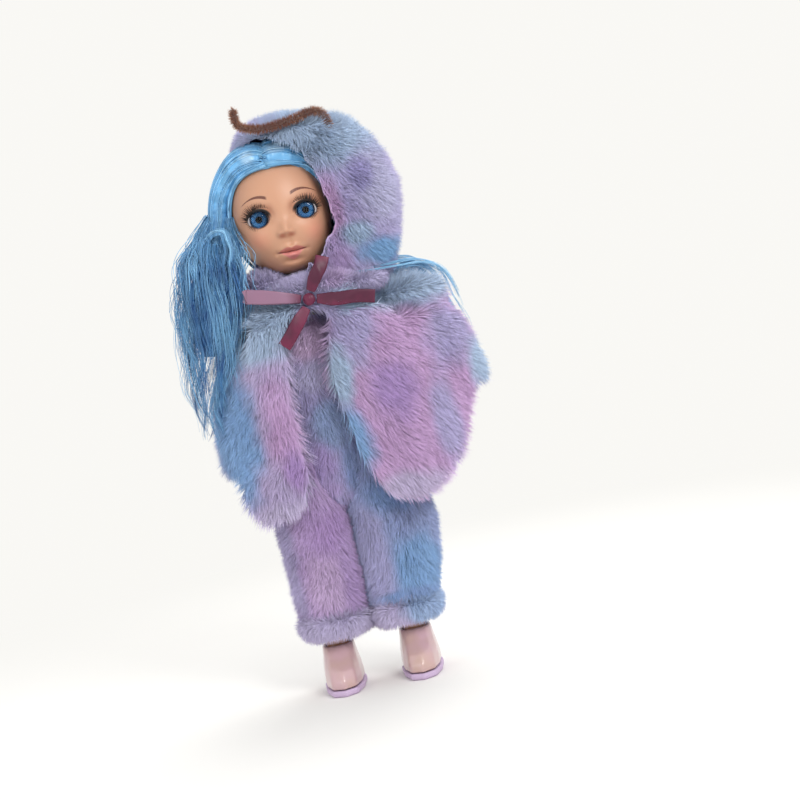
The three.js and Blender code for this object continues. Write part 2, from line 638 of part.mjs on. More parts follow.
function yoke() {
  const shares = [0, 0.25, 0.5, 0.75, 1];
  const half = (i) => (CAPE_THICKNESS / 2) * (i % (shares.length - 1) ? 1 : CLOTH_EDGE);
  const rings = Array.from({ length: TRUNK_ROUND }, (_, k) => {
    const angle = (2 * Math.PI * k) / TRUNK_ROUND;
    const line = shares.map((share) => yokePoint(angle, share));
    const over = line.map((p, i) => point(p.x, p.y, p.z + half(i)));
    const under = line.map((p, i) => point(p.x, p.y, p.z - half(i)));
    return [...over, ...under.reverse()];
  });
  const ring = solid(loft(rings, 'looped'));
  const shoulders = [1, -1].map((side) => {
    const r = SHOULDER_R + GAP;
    const drum = [[TRUNK_HALF_WIDTH / 2, 0], [TRUNK_HALF_WIDTH / 2, r], [FAR, r], [FAR, 0]];
    return onSide(turnedAboutX(drum, SHOULDER_Y, SHOULDER_Z), side);
  });
  add('cape_yoke', surface(cut(ring, ...shoulders, loft(trunkRings(2 * GAP + ROMPER_THICKNESS)))), FUR_PALE);
}

// The front and back panels hang from under the yoke's rim. Their outlines are [share of drop, x] rows
// for the two edges, and [share of width, height over the hem level] rows for the hem.
const FRONT_LEFT = {
  inner: [[0, 36], [0.3, 24], [0.6, 17], [1, 16]],
  outer: [[0, 66], [0.24, 84], [0.45, 78], [0.56, 58], [1, 50]],
  hem: [[0, 6], [0.4, 0], [0.7, 6], [1, 14]],
};
const FRONT_RIGHT = {
  inner: [[0, 18], [0.15, 10], [1, 9]],
  outer: [[0, 58], [0.1, 62], [0.2, 57], [0.32, 38], [1, 35]],
  hem: [[0, 16], [0.2, 9], [0.7, 5], [1, 14]],
};
const BACK = {
  inner: [[0, -52], [0.15, -62], [0.36, -60], [0.5, -42], [1, -36]],
  outer: [[0, 62], [0.24, 82], [0.42, 78], [0.56, 50], [1, 40]],
  hem: [[0, 12], [0.3, 3], [0.7, 0], [1, 12]],
};

function panel(outline, middleY, folds, columns = 11, rows = 8) {
  const grid = Array.from({ length: rows }, (_, i) => {
    const share = i / (rows - 1);
    return Array.from({ length: columns }, (_unused, k) => {
      const across = k / (columns - 1);
      const low = CAPE_HEM_Z + CAPE_THICKNESS / 2 + between(outline.hem, across);
      const x = THREE.MathUtils.lerp(between(outline.inner, share), between(outline.outer, share), across);
      const out = Math.max(0, Math.abs(x) - YOKE_HALF_WIDTH);
      const sway = CAPE_FOLD * (1 - share) * Math.cos(2 * Math.PI * folds * across);
      const y = middleY - Math.sign(middleY) * (CAPE_SIDE_CURVE * out ** 2 - sway);
      return point(x, y, THREE.MathUtils.lerp(low, PANEL_TOP_Z, share));
    });
  });
  return cloth(grid, CAPE_THICKNESS);
}

function capePanels() {
  add('cape_front_left', panel(FRONT_LEFT, -CAPE_FRONT_Y, 2.5), FUR_LILAC);
  add('cape_front_right', mirrored(panel(FRONT_RIGHT, -CAPE_FRONT_Y, 2)), FUR_BLUE);
  add('cape_back', panel(BACK, CAPE_BACK_Y, 4, 17), FUR_BLUE);
}

// A wing is an upturned trough over one arm. Rows are [x from the yoke, top, hem] as heights over the
// shoulder, and its depth follows the arm, wider at the forearm or, with a lead, from the yoke on.
function wing(name, side, splay, lead, rows) {
  const { shoulder, elbow, hand } = armRoute(splay);
  const start = YOKE_HALF_WIDTH + SEAM_GAP;
  const width = rows[rows.length - 1][0];
  const stations = 9;
  const room = ARM_R + GAP + CAPE_THICKNESS / 2 + 1;
  const section = [[-1, 0], [-1.02, 0.34], [-0.96, 0.66], [-0.79, 0.88], [-0.3, 0.99], [0.3, 0.99],
    [0.79, 0.88], [0.96, 0.66], [1.02, 0.34], [1, 0]];
  const grid = Array.from({ length: stations }, (_, i) => {
    const out = (width * i) / (stations - 1);
    const x = start + out;
    const top = SHOULDER_Z + between(rows.map(([place, high]) => [place, high]), out);
    const hem = SHOULDER_Z + between(rows.map(([place, , low]) => [place, low]), out);
    const fore = THREE.MathUtils.clamp((x - elbow.x) / (hand.x - elbow.x) + lead, 0, 1);
    const middle = THREE.MathUtils.lerp(shoulder.y, (shoulder.y + hand.y) / 2, fore);
    const spread = room + 4 * lead + (shoulder.y - hand.y) / 2 * fore;
    const tipShare = Math.max(0, (out / width - 1) / WING_TIP + 1);
    const tip = Math.sqrt(Math.max(0.09, 1 - tipShare ** 2));
    return section.map(([y, z]) => {
      const high = top - CAPE_THICKNESS / 2;
      const low = hem + CAPE_THICKNESS / 2;
      return point(x, middle + y * spread * tip, THREE.MathUtils.lerp(low, high, z));
    });
  });
  const beside = solid(box(point(start, -FAR, 0), point(FAR, FAR, FAR)));
  const lobe = solid(cloth(grid, CAPE_THICKNESS)).subtract(armForm(splay, GAP)).intersect(beside);
  add(name, onSide(surface(lobe), side), side > 0 ? FUR_PALE : FUR_BLUE);
}

const WING_LEFT = [[0, 18, -24], [27, 14.5, -42], [49, 0.5, -52], [63, -21, -54], [69, -44, -54]];
const WING_RIGHT = [[0, 18.4, -30], [8, 12, -60], [16, -8, -76], [24, -34, -79], [29, -62, -78]];

// Bow

// A flat strip of ribbon along a route, its width square to the route and to the doll's front.
function strip(route, width, ends = [1, 1]) {
  const curve = new THREE.CatmullRomCurve3(route);
  const steps = route.length * 2;
  const rings = Array.from({ length: steps + 1 }, (_, i) => {
    const t = i / steps;
    const middle = curve.getPointAt(t);
    const way = curve.getTangentAt(t);
    const across = point(-way.z, 0, way.x).normalize();
    const thick = across.clone().cross(way).normalize();
    const half = (width / 2) * THREE.MathUtils.lerp(ends[0], ends[1], t);
    return [[1, 1], [-1, 1], [-1, -1], [1, -1]].map(([a, b]) => {
      const p = middle.clone().addScaledVector(across, a * half);
      return p.addScaledVector(thick, (b * RIBBON_THICKNESS) / 2);
    });
  });
  return loft(rings);
}

function bow() {
  const knot = point(6.4, -CAPE_FRONT_Y - KNOT_R * 0.8, YOKE_TOP_Z - 7.4);
  const ball = new THREE.SphereGeometry(KNOT_R, 12, 8).scale(1, 0.8, 0.95);
  add('ribbon_knot', closed(ball.translate(...knot.toArray())), SATIN);
  const from = (x, y, z) => knot.clone().add(point(x, y, z));
  const start = KNOT_R + GAP;
  const loop = [from(-start, 0, 1.2), from(-18, -3, 5), from(-34, -1.4, 8.8), from(-35.4, 0.6, 9.2),
    from(-34, 2.6, 8.8), from(-18, 1.8, 4.4), from(-start - 0.4, 2.4, 1)];
  add('ribbon_loop', strip(loop, RIBBON_WIDTH + 1), SATIN);
  const side = [from(start, -0.4, -0.6), from(16, -2.4, -3), from(28, -1.8, -4), from(38.6, -1.8, -6.5)];
  add('ribbon_tail_side', strip(side, RIBBON_WIDTH), SATIN);
  const up = [from(3, -1, start), from(7, -3, 13), from(11, -2, 18), from(13, 0, 23)];
  add('ribbon_tail_up', strip(up, RIBBON_WIDTH), SATIN);
  const down = [from(-3.4, -1.4, -start), from(-10, -3.4, -13), from(-16, -2.4, -20), from(-20, -1.8, -24)];
  add('ribbon_tail_down', strip(down, RIBBON_WIDTH), SATIN);
}

// Head: its group stands at the head's middle, turned a little to the doll's left
const head = new THREE.Group();
head.position.set(0, NECK_Y, HEAD_Z);
head.rotation.z = radians(HEAD_TURN);
doll.add(head);

// A point of the head's skin, grown outwards, for a turn round the head and a rise from -1 to 1.
function headPoint(turn, rise, grow, features) {
  const up = rise > 0 ? CROWN_RISE : CHIN_DROP;
  const slim = Math.sqrt(Math.max(0, 1 - rise * rise));
  const [c, s] = [Math.cos(turn), Math.sin(turn)];
  const jaw = rise < 0 && s < 0 ? slim ** 0.6 : slim;
  const depth = s < 0 ? -(FACE_DEPTH + grow) * jaw : (OCCIPUT_DEPTH + grow) * slim;
  const p = point((HEAD_HALF_WIDTH + grow) * slim * c, depth * Math.abs(s), (up + grow) * rise);
  if (features && s < 0) p.y -= faceRelief(Math.abs(p.x), p.z);
  return p;
}

// How far the face stands forward of the plain form at a distance from its middle and a height.
function faceRelief(x, z) {
  const nose = 4.6 * bell(x, 0, 3.4) * bell(z, -13.4, z > -13.4 ? 6 : 2.6);
  const nostrils = 1.6 * bell(x, 4, 1.8) * bell(z, -14.2, 2);
  const sockets = -2.4 * bell(x, EYE_X, 7.5) * bell(z, -EYE_DROP, 6);
  const cheeks = 2.2 * bell(x, 17, 8) * bell(z, -16, 8);
  const lips = 1.9 * bell(x, 0, 6.5) * (bell(z, -23.8, 2) + bell(z, -28.4, 2.2));
  const chin = 3.2 * bell(x, 0, 8) * bell(z, -35, 4.6);
  return nose + nostrils + sockets + cheeks + lips + chin;
}

// The head's form as a closed skin, finer at the face than behind it.
function headForm(grow, features, around = HOOD_ROUND, levels = HOOD_LEVELS) {
  const rings = Array.from({ length: levels }, (_, i) => {
    const tilt = Math.PI * ((i + 0.5) / levels - 0.5);
    return Array.from({ length: around }, (_unused, k) => {
      const turn = (2 * Math.PI * k) / around;
      const crowded = features && Math.sin(turn) < 0 ? FACE_CROWDING * Math.cos(turn) : 0;
      return headPoint(turn + crowded, Math.sin(tilt), grow, features);
    });
  });
  return loft(rings);
}

function headShell() {
  const tools = [headForm(-HEAD_WALL, false, ROUND, 12)];
  const neck = NECK_R + GAP;
  tools.push(turnedAboutZ([[0, -FAR], [neck, -FAR], [neck, 0], [0, 0]], 0, 0, ROUND));
  [1, -1].forEach((side) => {
    const socket = new THREE.SphereGeometry(EYEBALL_R + GAP, ROUND, 8);
    tools.push(socket.translate(side * EYE_X, EYE_Y, -EYE_DROP));
    const lids = new THREE.CylinderGeometry(0.5, 0.5, FACE_DEPTH, ROUND);
    lids.scale(EYELID_WIDTH, 1, EYELID_HEIGHT);
    tools.push(lids.translate(side * EYE_X, -FACE_DEPTH, -EYE_DROP));
  });
  add('head_shell', surface(cut(solid(headForm(0, true, HEAD_ROUND, HEAD_LEVELS)), ...tools)), VINYL, head);
}

// Each eye is a white ball with a flat front, a blue iris disc on it and a clear dome over both.
function eye(side, word) {
  const place = [side * EYE_X, EYE_Y, -EYE_DROP];
  const flat = -EYE_FLAT;
  const ball = solid(new THREE.SphereGeometry(EYEBALL_R, ROUND, 8).rotateX(Math.PI / 2));
  const front = box(point(-FAR, -FAR, -FAR), point(FAR, flat, FAR));
  add(`eyeball_${word}`, surface(cut(ball, front)).translate(...place), WHITE_ACRYLIC, head);
  const disc = (radius, from, to) => {
    const plate = new THREE.CylinderGeometry(radius, radius, to - from, ROUND);
    return plate.translate(0, (from + to) / 2, 0);
  };
  const back = flat - SEAM_GAP;
  const iris = disc(IRIS_D / 2, back - IRIS_THICKNESS, back);
  add(`iris_${word}`, closed(iris.translate(...place)), BLUE_ACRYLIC, head);
  const dome = ball.intersect(solid(box(point(-FAR, -FAR, -FAR), point(FAR, back, FAR))));
  const pocket = disc(IRIS_D / 2 + SEAM_GAP / 2, back - IRIS_THICKNESS - SEAM_GAP, FAR);
  add(`cornea_${word}`, surface(cut(dome, pocket)).translate(...place), CLEAR_ACRYLIC, head);
}

// A lash strip lies along the upper lid, a little in front of the skin.
function lashes(side, word) {
  const steps = 10;
  const rings = Array.from({ length: steps + 1 }, (_, i) => {
    const angle = Math.PI * (0.08 + 0.84 * (i / steps));
    const x = side * EYE_X + (EYELID_WIDTH / 2 + 0.6) * Math.cos(angle);
    const z = -EYE_DROP + (EYELID_HEIGHT / 2 + 0.6) * Math.sin(angle);
    const skin = -FACE_DEPTH * Math.sqrt(1 - (x / HEAD_HALF_WIDTH) ** 2 - (z / CHIN_DROP) ** 2);
    const y = skin - faceRelief(Math.abs(x), z) - 2 * GAP;
    const tip = y - LASH_LENGTH;
    return [point(x, y, z - 0.3), point(x, tip, z + 0.6), point(x, tip, z + 1.1), point(x, y, z + 0.4)];
  });
  add(`lashes_${word}`, loft(rings), LASH_HAIR, head);
}

function hairCap() {
  const outer = solid(headForm(HAIR_THICKNESS, false));
  const face = new THREE.CylinderGeometry(1, 1, 2 * FAR, TRUNK_ROUND);
  const reach = CHIN_DROP + HAIR_THICKNESS * 2;
  face.scale(FACE_HALF_WIDTH, 1, reach).translate(0, FACE_EDGE_Y - FAR, HAIRLINE_RISE - reach);
  const nape = box(point(-FAR, -FAR, -FAR), point(FAR, FAR, NAPE_RISE - CHIN_DROP));
  add('hair_cap', surface(cut(outer, headForm(GAP, true, HEAD_ROUND, HEAD_LEVELS), face, nape)), HAIR, head);
}

// The hood, in the doll's frame: x, y and z share one egg form, thinner by an inset for its inside.
function hoodForm(inset) {
  const middle = HEAD_Z + HOOD_RISE;
  const rings = Array.from({ length: HOOD_LEVELS }, (_, i) => {
    const rise = Math.sin(Math.PI * ((i + 0.5) / HOOD_LEVELS - 0.5));
    const z = middle + rise * ((rise > 0 ? HOOD_UP : HOOD_DOWN) - inset);
    const slim = Math.sqrt(1 - rise * rise);
    const lean = -HOOD_LEAN * Math.max(0, z - middle);
    const depth = (HOOD_HALF_DEPTH - inset) * slim;
    return oval([z, HOOD_X + lean, HOOD_Y, (HOOD_HALF_WIDTH - inset) * slim, depth, depth], HOOD_ROUND);
  });
  return loft(rings);
}

function hood() {
  const opening = new THREE.BoxGeometry(2 * FAR, FAR, 2 * FAR).translate(0, -FAR / 2, 0);
  opening.rotateZ(radians(-HOOD_OPENING_TURN)).translate(HOOD_RIM[0], HOOD_RIM[1], HEAD_Z);
  const below = box(point(-FAR, -FAR, -FAR), point(FAR, FAR, HEM_Z));
  const hair = headForm(HAIR_THICKNESS + GAP, false);
  hair.rotateZ(radians(HEAD_TURN)).translate(0, NECK_Y, HEAD_Z);
  const shell = cut(solid(hoodForm(0)), hoodForm(HOOD_THICKNESS), opening, below, hair);
  const seam = HOOD_X - 4;
  [['left', seam + SEAM_GAP / 2, FAR], ['right', -FAR, seam - SEAM_GAP / 2]].forEach(([word, from, to]) => {
    const half = shell.intersect(solid(box(point(from, -FAR, 0), point(to, FAR, 2 * FAR))));
    add(`hood_${word}`, surface(half), FUR_PALE);
  });
}

// The antenna is one pipe cleaner, bent by hand and tied at its middle to the hood's rim. Each bend is given
// by its place across the hood, behind the hood's front, and above the tie.
function antenna() {
  const crown = HEAD_Z + HOOD_RISE + HOOD_UP - ANTENNA_BELOW_TOP;
  const share = 1 - ANTENNA_BELOW_TOP / HOOD_UP;
  const front = HOOD_Y - HOOD_HALF_DEPTH * Math.sqrt(1 - share * share) - ANTENNA_R;
  const route = ANTENNA_BENDS.map(([across, behind, above]) =>
    point(HOOD_X + across, front + behind, crown + above));
  const tie = route[ANTENNA_TIE_BEND];
  const count = 18;
  const radii = Array.from({ length: count }, (_, i) => (i === 0 || i === count - 1 ? 0.6 : 1) * ANTENNA_R);
  add('antenna_stem', limb(route, radii, radii.map(() => 1), 8), CHENILLE);
  const profile = [];
  for (let i = 0; i <= 6; i += 1) {
    const angle = (2 * Math.PI * i) / 6;
    profile.push([tie.x + 1.2 * Math.sin(angle), ANTENNA_R + 0.8 + 0.5 * Math.cos(angle)]);
  }
  add('antenna_tie', closed(turnedAboutX(profile, tie.y, tie.z, 12)), CHENILLE);
}

// A lock of hair as flat ovals: rows are [z, x, y, half width, half thickness]. Its root ends at the hair
// that lies on the head.
function lock(name, rows) {
  const rings = rows.map(([z, x, y, halfWidth, thick]) => oval([z, x, y, halfWidth, thick, thick]));
  const hair = headForm(HAIR_THICKNESS + GAP, false);
  hair.rotateZ(radians(HEAD_TURN)).translate(0, NECK_Y, HEAD_Z);
  add(name, surface(cut(solid(loft(rings)), hair)), HAIR);
}

const LOCK_RIGHT = [[325, -27, -11, 2.4, 1.6], [316, -32, -11, 4.6, 2.4], [303, -37, -15, 6.4, 3.2],
  [289.5, -41, -21, 10.4, 3.8], [278, -45.5, -26, 15, 4.2], [265, -49, -29.4, 18.6, 4.4],
  [244, -54, -31.5, 17.4, 4.4], [223, -60, -32, 13.6, 4], [197, -65.5, -32, 9.5, 3.4],
  [180, -67.5, -31, 5.6, 2.6], [168, -68.5, -30, 2, 1.4]];
const LOCK_LEFT = [[276, 24, 30, 4, 2], [264, 28, 28, 5, 2.4], [250.6, 27, 20, 4, 2.4],
  [246.8, 38, 22, 8, 2.2], [243.4, 56, 29, 12, 2.6], [237, 76, 31.4, 13, 3],
  [224, 88, 30, 8, 3], [206, 93, 29.6, 4.4, 2.4], [192, 93, 29.4, 2, 1.4]];

// Build
trunkShells();
neckPost();
bodice();
gusset();
yoke();
capePanels();
wing('cape_wing_left', 1, SPLAY_LEFT, 0, WING_LEFT);
wing('cape_wing_right', -1, SPLAY_RIGHT, 1, WING_RIGHT);
bow();
arm('arm_left', 1, SPLAY_LEFT);
arm('arm_right', -1, SPLAY_RIGHT);
[[1, 'left'], [-1, 'right']].forEach(([side, word]) => {
  plug(`shoulder_plug_${word}`, side, TRUNK_HALF_WIDTH, ARM_PLUG_DEPTH, ARM_PLUG_R, SHOULDER_Y, SHOULDER_Z);
  leg(`leg_${word}`, side);
  plug(`hip_plug_${word}`, side, PELVIS_HALF_WIDTH, LEG_PLUG_DEPTH, LEG_PLUG_R, 0, HIP_Z);
  romperLeg(side, word, side > 0 ? ROMPER_LEG_BULGE_LEFT : 0);
  cuff(side, word);
  shoe(side, word);
  eye(side, word);
  lashes(side, word);
});
headShell();
hairCap();
hood();
antenna();
lock('hair_lock_right', LOCK_RIGHT);
lock('hair_lock_left', LOCK_LEFT);

// The whole stands with its box's middle over the origin.
const extent = new THREE.Box3().setFromObject(doll, true);
const middle = extent.getCenter(point());
doll.position.set(-middle.x, -middle.y, -extent.min.z);

const model = new THREE.Group();
model.name = 'fashion_doll';
model.add(doll);

export default model;
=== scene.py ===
# %% [markdown]
# # A doll in a furry hooded cape
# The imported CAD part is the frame: every piece below is made in the same metres, in the place that the frame
# gives, and says which moving body carries it. The doll stands on z = 0 and looks along -Y. Its lengths are
# easier to think about in millimetres from the doll's own axis, so one helper turns those into metres.

# %% Load the frame
import math
import random
import bmesh
import bpy
import numpy as np
from mathutils import Euler, Matrix, Vector, noise


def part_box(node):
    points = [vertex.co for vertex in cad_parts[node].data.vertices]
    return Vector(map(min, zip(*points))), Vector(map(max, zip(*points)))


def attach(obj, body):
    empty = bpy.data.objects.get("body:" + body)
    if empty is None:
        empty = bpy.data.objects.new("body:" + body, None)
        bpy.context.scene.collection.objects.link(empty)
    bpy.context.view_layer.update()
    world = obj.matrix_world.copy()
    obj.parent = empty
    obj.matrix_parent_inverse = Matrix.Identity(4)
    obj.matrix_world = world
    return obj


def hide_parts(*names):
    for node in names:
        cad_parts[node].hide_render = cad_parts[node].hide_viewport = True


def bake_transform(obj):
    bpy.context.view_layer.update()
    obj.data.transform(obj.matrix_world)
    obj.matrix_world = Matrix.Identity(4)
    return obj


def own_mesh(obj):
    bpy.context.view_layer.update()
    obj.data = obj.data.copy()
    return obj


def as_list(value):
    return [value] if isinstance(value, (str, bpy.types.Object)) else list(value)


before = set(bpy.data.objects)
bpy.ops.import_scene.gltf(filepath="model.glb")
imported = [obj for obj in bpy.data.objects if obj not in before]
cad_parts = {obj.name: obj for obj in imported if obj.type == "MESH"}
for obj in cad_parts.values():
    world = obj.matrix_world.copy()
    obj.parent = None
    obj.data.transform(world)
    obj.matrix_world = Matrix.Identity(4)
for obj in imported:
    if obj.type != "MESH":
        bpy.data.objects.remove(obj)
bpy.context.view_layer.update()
scene = bpy.context.scene
MM = 0.001
post_low, post_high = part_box("neck_post")
NECK_Y = 3
AXIS = Vector(((post_low[0] + post_high[0]) / 2, (post_low[1] + post_high[1]) / 2 - NECK_Y * MM, 0))
HEAD_Z = 297
HEAD_TURN = math.radians(3)


def spot(x, y, z):
    """A place given in millimetres from the doll's axis, in metres in the frame."""
    return AXIS + Vector((x, y, z)) * MM


def from_head(p):
    """A place given in millimetres from the middle of the head, in metres in the frame."""
    turned = Matrix.Rotation(HEAD_TURN, 3, "Z") @ Vector(p)
    return spot(turned.x, turned.y + NECK_Y, turned.z + HEAD_Z)


def in_mm(co):
    """Metres in the frame to millimetres from the doll's axis."""
    return (Vector(co) - AXIS) / MM


def to_head(co):
    """Metres in the frame to millimetres from the middle of the head."""
    p = in_mm(co) - Vector((0, NECK_Y, HEAD_Z))
    return Matrix.Rotation(-HEAD_TURN, 3, "Z") @ p


print("doll axis at", [round(v, 4) for v in AXIS], "nodes", len(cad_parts))

# %% [markdown]
# ## Camera, light and floor
# The photograph looks almost straight at the doll's front, a little from above, and the doll leans in it. So
# the camera is turned about its own axis, and the doll stays upright. A large soft lamp from the front, a
# weaker one on the other side, one from behind and an even world light show colours about as they are written.

# %% Camera
camera = bpy.data.objects.new("camera", bpy.data.cameras.new("camera"))
scene.collection.objects.link(camera)
scene.camera = camera
LEAN = math.radians(12.5)
LOOK_DOWN = math.radians(4.5)
DISTANCE = 1.1
FRAME_WIDTH = 0.4856
aim = spot(46.3, -12, 168.5)
back = Vector((0, -math.cos(LOOK_DOWN), math.sin(LOOK_DOWN)))
side = Vector((math.sin(LEAN), 0, math.cos(LEAN))).cross(back).normalized()
above = back.cross(side)
turn = Matrix((side, above, back)).transposed().to_4x4()
camera.matrix_world = Matrix.Translation(aim + back * DISTANCE) @ turn
camera.data.sensor_width = 36
camera.data.lens = 36 * (DISTANCE - 0.01) / FRAME_WIDTH
camera.data.clip_start = 0.01
scene.view_settings.view_transform = "Standard"
print("lens", round(camera.data.lens, 1), "mm")


# %% World and lamps
def nodes_of(owner):
    owner.use_nodes = True
    owner.node_tree.nodes.clear()
    return owner.node_tree


world = bpy.data.worlds.new("studio")
scene.world = world
tree = nodes_of(world)
path = tree.nodes.new("ShaderNodeLightPath")
seen = tree.nodes.new("ShaderNodeMath")
seen.operation = "MAXIMUM"
seen_all = tree.nodes.new("ShaderNodeMath")
seen_all.operation = "MAXIMUM"
tree.links.new(path.outputs["Is Camera Ray"], seen.inputs[0])
tree.links.new(path.outputs["Is Glossy Ray"], seen.inputs[1])
tree.links.new(seen.outputs[0], seen_all.inputs[0])
tree.links.new(path.outputs["Is Transmission Ray"], seen_all.inputs[1])
even = tree.nodes.new("ShaderNodeBackground")
even.inputs["Color"].default_value = (1, 1, 1, 1)
even.inputs["Strength"].default_value = 0.76
paper = tree.nodes.new("ShaderNodeBackground")
paper.inputs["Color"].default_value = (0.95, 0.94, 0.91, 1)
paper.inputs["Strength"].default_value = 1.0
either = tree.nodes.new("ShaderNodeMixShader")
tree.links.new(seen_all.outputs[0], either.inputs["Fac"])
tree.links.new(even.outputs[0], either.inputs[1])
tree.links.new(paper.outputs[0], either.inputs[2])
tree.links.new(either.outputs[0], tree.nodes.new("ShaderNodeOutputWorld").inputs["Surface"])


def lamp(name, place, watts, size):
    data = bpy.data.lights.new(name, "AREA")
    data.energy = watts
    data.size = size
    thing = bpy.data.objects.new(name, data)
    scene.collection.objects.link(thing)
    thing.location = place
    thing.rotation_euler = (Vector(place) - spot(0, 0, 190)).to_track_quat("Z", "Y").to_euler()


lamp("key", (0.65, -1.1, 0.95), 10.5, 0.5)
lamp("fill", (-0.95, -0.95, 0.55), 2.6, 0.8)
lamp("rim", (0.25, 0.5, 1.2), 7.0, 0.8)


# %% [markdown]
# ## Small tools for meshes
# A piece starts as a bmesh, becomes an object at the origin, and gets its modifiers applied, so that its shape
# is final before it rides on a body.

# %% Mesh tools
def piece_from(bm, name, smooth=True):
    mesh = bpy.data.meshes.new(name)
    bm.to_mesh(mesh)
    bm.free()
    if smooth:
        mesh.shade_smooth()
    thing = bpy.data.objects.new(name, mesh)
    scene.collection.objects.link(thing)
    return thing


def settle(piece):
    """Applies the piece's modifiers."""
    graph = bpy.context.evaluated_depsgraph_get()
    made = bpy.data.meshes.new_from_object(piece.evaluated_get(graph), preserve_all_data_layers=True,
                                           depsgraph=graph)
    old = piece.data
    piece.modifiers.clear()
    piece.data = made
    bpy.data.meshes.remove(old)
    made.name = piece.name
    return piece


def count(piece):
    return sum(len(p.vertices) - 2 for p in piece.data.polygons)


def ramp(v, low, high):
    """Rises smoothly from 0 at low to 1 at high."""
    t = max(0.0, min(1.0, (v - low) / (high - low)))
    return t * t * (3 - 2 * t)


def soft_skin(nodes, name, voxel, rounds, inset=0.0, change=None, swell=0.0, blobs=()):
    """CAD nodes as one soft closed skin: fused, smoothed, and drawn in by an inset in millimetres. change holds
    for some nodes how their points move first, in millimetres. A swell closes gaps before the smoothing. Blobs
    are (centre, half sizes)."""
    bm = bmesh.new()
    for node in nodes:
        before = len(bm.verts)
        bm.from_mesh(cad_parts[node].data)
        if change and node in change:
            for v in list(bm.verts)[before:]:
                v.co = spot(*change[node](in_mm(v.co)))
    bmesh.ops.remove_doubles(bm, verts=bm.verts, dist=1e-6)
    for centre, half in blobs:
        for v in bmesh.ops.create_uvsphere(bm, u_segments=40, v_segments=24, radius=1)["verts"]:
            v.co = spot(*[c + h * s for c, h, s in zip(centre, half, v.co)])
    piece = piece_from(bm, name)

    def fuse():
        remesh = piece.modifiers.new("fuse", "REMESH")
        remesh.mode = "VOXEL"
        remesh.voxel_size = voxel * MM
        remesh.use_smooth_shade = True

    def push(by):
        move = piece.modifiers.new("push", "DISPLACE")
        move.mid_level = 0
        move.strength = by * MM

    fuse()
    if swell:
        push(swell)
        fuse()
    ease = piece.modifiers.new("ease", "SMOOTH")
    ease.iterations = rounds
    ease.factor = 0.5
    push(-swell - inset)
    return settle(piece)


floor_mesh = bmesh.new()
bmesh.ops.create_grid(floor_mesh, x_segments=1, y_segments=1, size=3)
floor = piece_from(floor_mesh, "floor", smooth=False)


# %% [markdown]
# ## Small tools for materials
# A material is a Principled shader whose inputs are fed by short sums on the piece's own coordinates. `Flow`
# wraps a socket, so that those sums read like arithmetic.

# %% Material tools
class Flow:
    def __init__(self, tree, socket):
        self.tree = tree
        self.socket = socket

    def run(self, kind, *others, clamp=False):
        node = self.tree.nodes.new("ShaderNodeMath")
        node.operation = kind
        node.use_clamp = clamp
        for i, value in enumerate((self, *others)):
            plug(self.tree, value, node.inputs[i])
        return Flow(self.tree, node.outputs[0])

    def __add__(self, other):
        return self.run("ADD", other)

    def __sub__(self, other):
        return self.run("SUBTRACT", other)

    def __mul__(self, other):
        return self.run("MULTIPLY", other)

    def __truediv__(self, other):
        return self.run("DIVIDE", other)

    def size(self):
        return self.run("ABSOLUTE")

    def root(self):
        return self.run("SQRT")

    def between(self, low, high, a=0.0, b=1.0):
        """Runs smoothly from a at low to b at high."""
        node = self.tree.nodes.new("ShaderNodeMapRange")
        node.interpolation_type = "SMOOTHSTEP"
        for name, value in (("Value", self), ("From Min", low), ("From Max", high), ("To Min", a), ("To Max", b)):
            plug(self.tree, value, node.inputs[name])
        return Flow(self.tree, node.outputs["Result"])


def plug(tree, value, socket):
    if isinstance(value, Flow):
        tree.links.new(value.socket, socket)
    elif isinstance(value, bpy.types.NodeSocket):
        tree.links.new(value, socket)
    else:
        socket.default_value = value


def srgb(text, shade=1.0):
    """A colour as written on the screen, such as 6DB4E0, as the linear numbers that shaders use."""
    parts = [int(text[i:i + 2], 16) / 255 for i in (0, 2, 4)]
    line = [p / 12.92 if p <= 0.04045 else ((p + 0.055) / 1.055) ** 2.4 for p in parts]
    return (*[min(1.0, p * shade) for p in line], 1.0)


def mix(tree, share, a, b, kind="MIX"):
    node = tree.nodes.new("ShaderNodeMix")
    node.data_type = "RGBA"
    node.blend_type = kind
    plug(tree, share, node.inputs["Factor"])
    plug(tree, a, node.inputs[6])
    plug(tree, b, node.inputs[7])
    return Flow(tree, node.outputs[2])


def grain(tree, where, scale, detail=3.0, rough=0.5):
    node = tree.nodes.new("ShaderNodeTexNoise")
    plug(tree, where, node.inputs["Vector"])
    node.inputs["Scale"].default_value = scale
    node.inputs["Detail"].default_value = detail
    node.inputs["Roughness"].default_value = rough
    return Flow(tree, node.outputs["Fac"])


def bump(tree, height, strength, distance):
    node = tree.nodes.new("ShaderNodeBump")
    node.inputs["Strength"].default_value = strength
    node.inputs["Distance"].default_value = distance
    plug(tree, height, node.inputs["Height"])
    return Flow(tree, node.outputs["Normal"])


def object_place(tree):
    return Flow(tree, tree.nodes.new("ShaderNodeTexCoord").outputs["Object"])


def attribute(tree, name, output="Fac"):
    node = tree.nodes.new("ShaderNodeAttribute")
    node.attribute_name = name
    return Flow(tree, node.outputs[output])


def new_material(name, **values):
    """A material with a Principled shader whose plain values are set on its own sockets."""
    material = bpy.data.materials.new(name)
    tree = nodes_of(material)
    shader = tree.nodes.new("ShaderNodeBsdfPrincipled")
    tree.links.new(shader.outputs[0], tree.nodes.new("ShaderNodeOutputMaterial").inputs["Surface"])
    for key, value in values.items():
        shader.inputs[key.replace("_", " ")].default_value = value
    return material, tree, shader


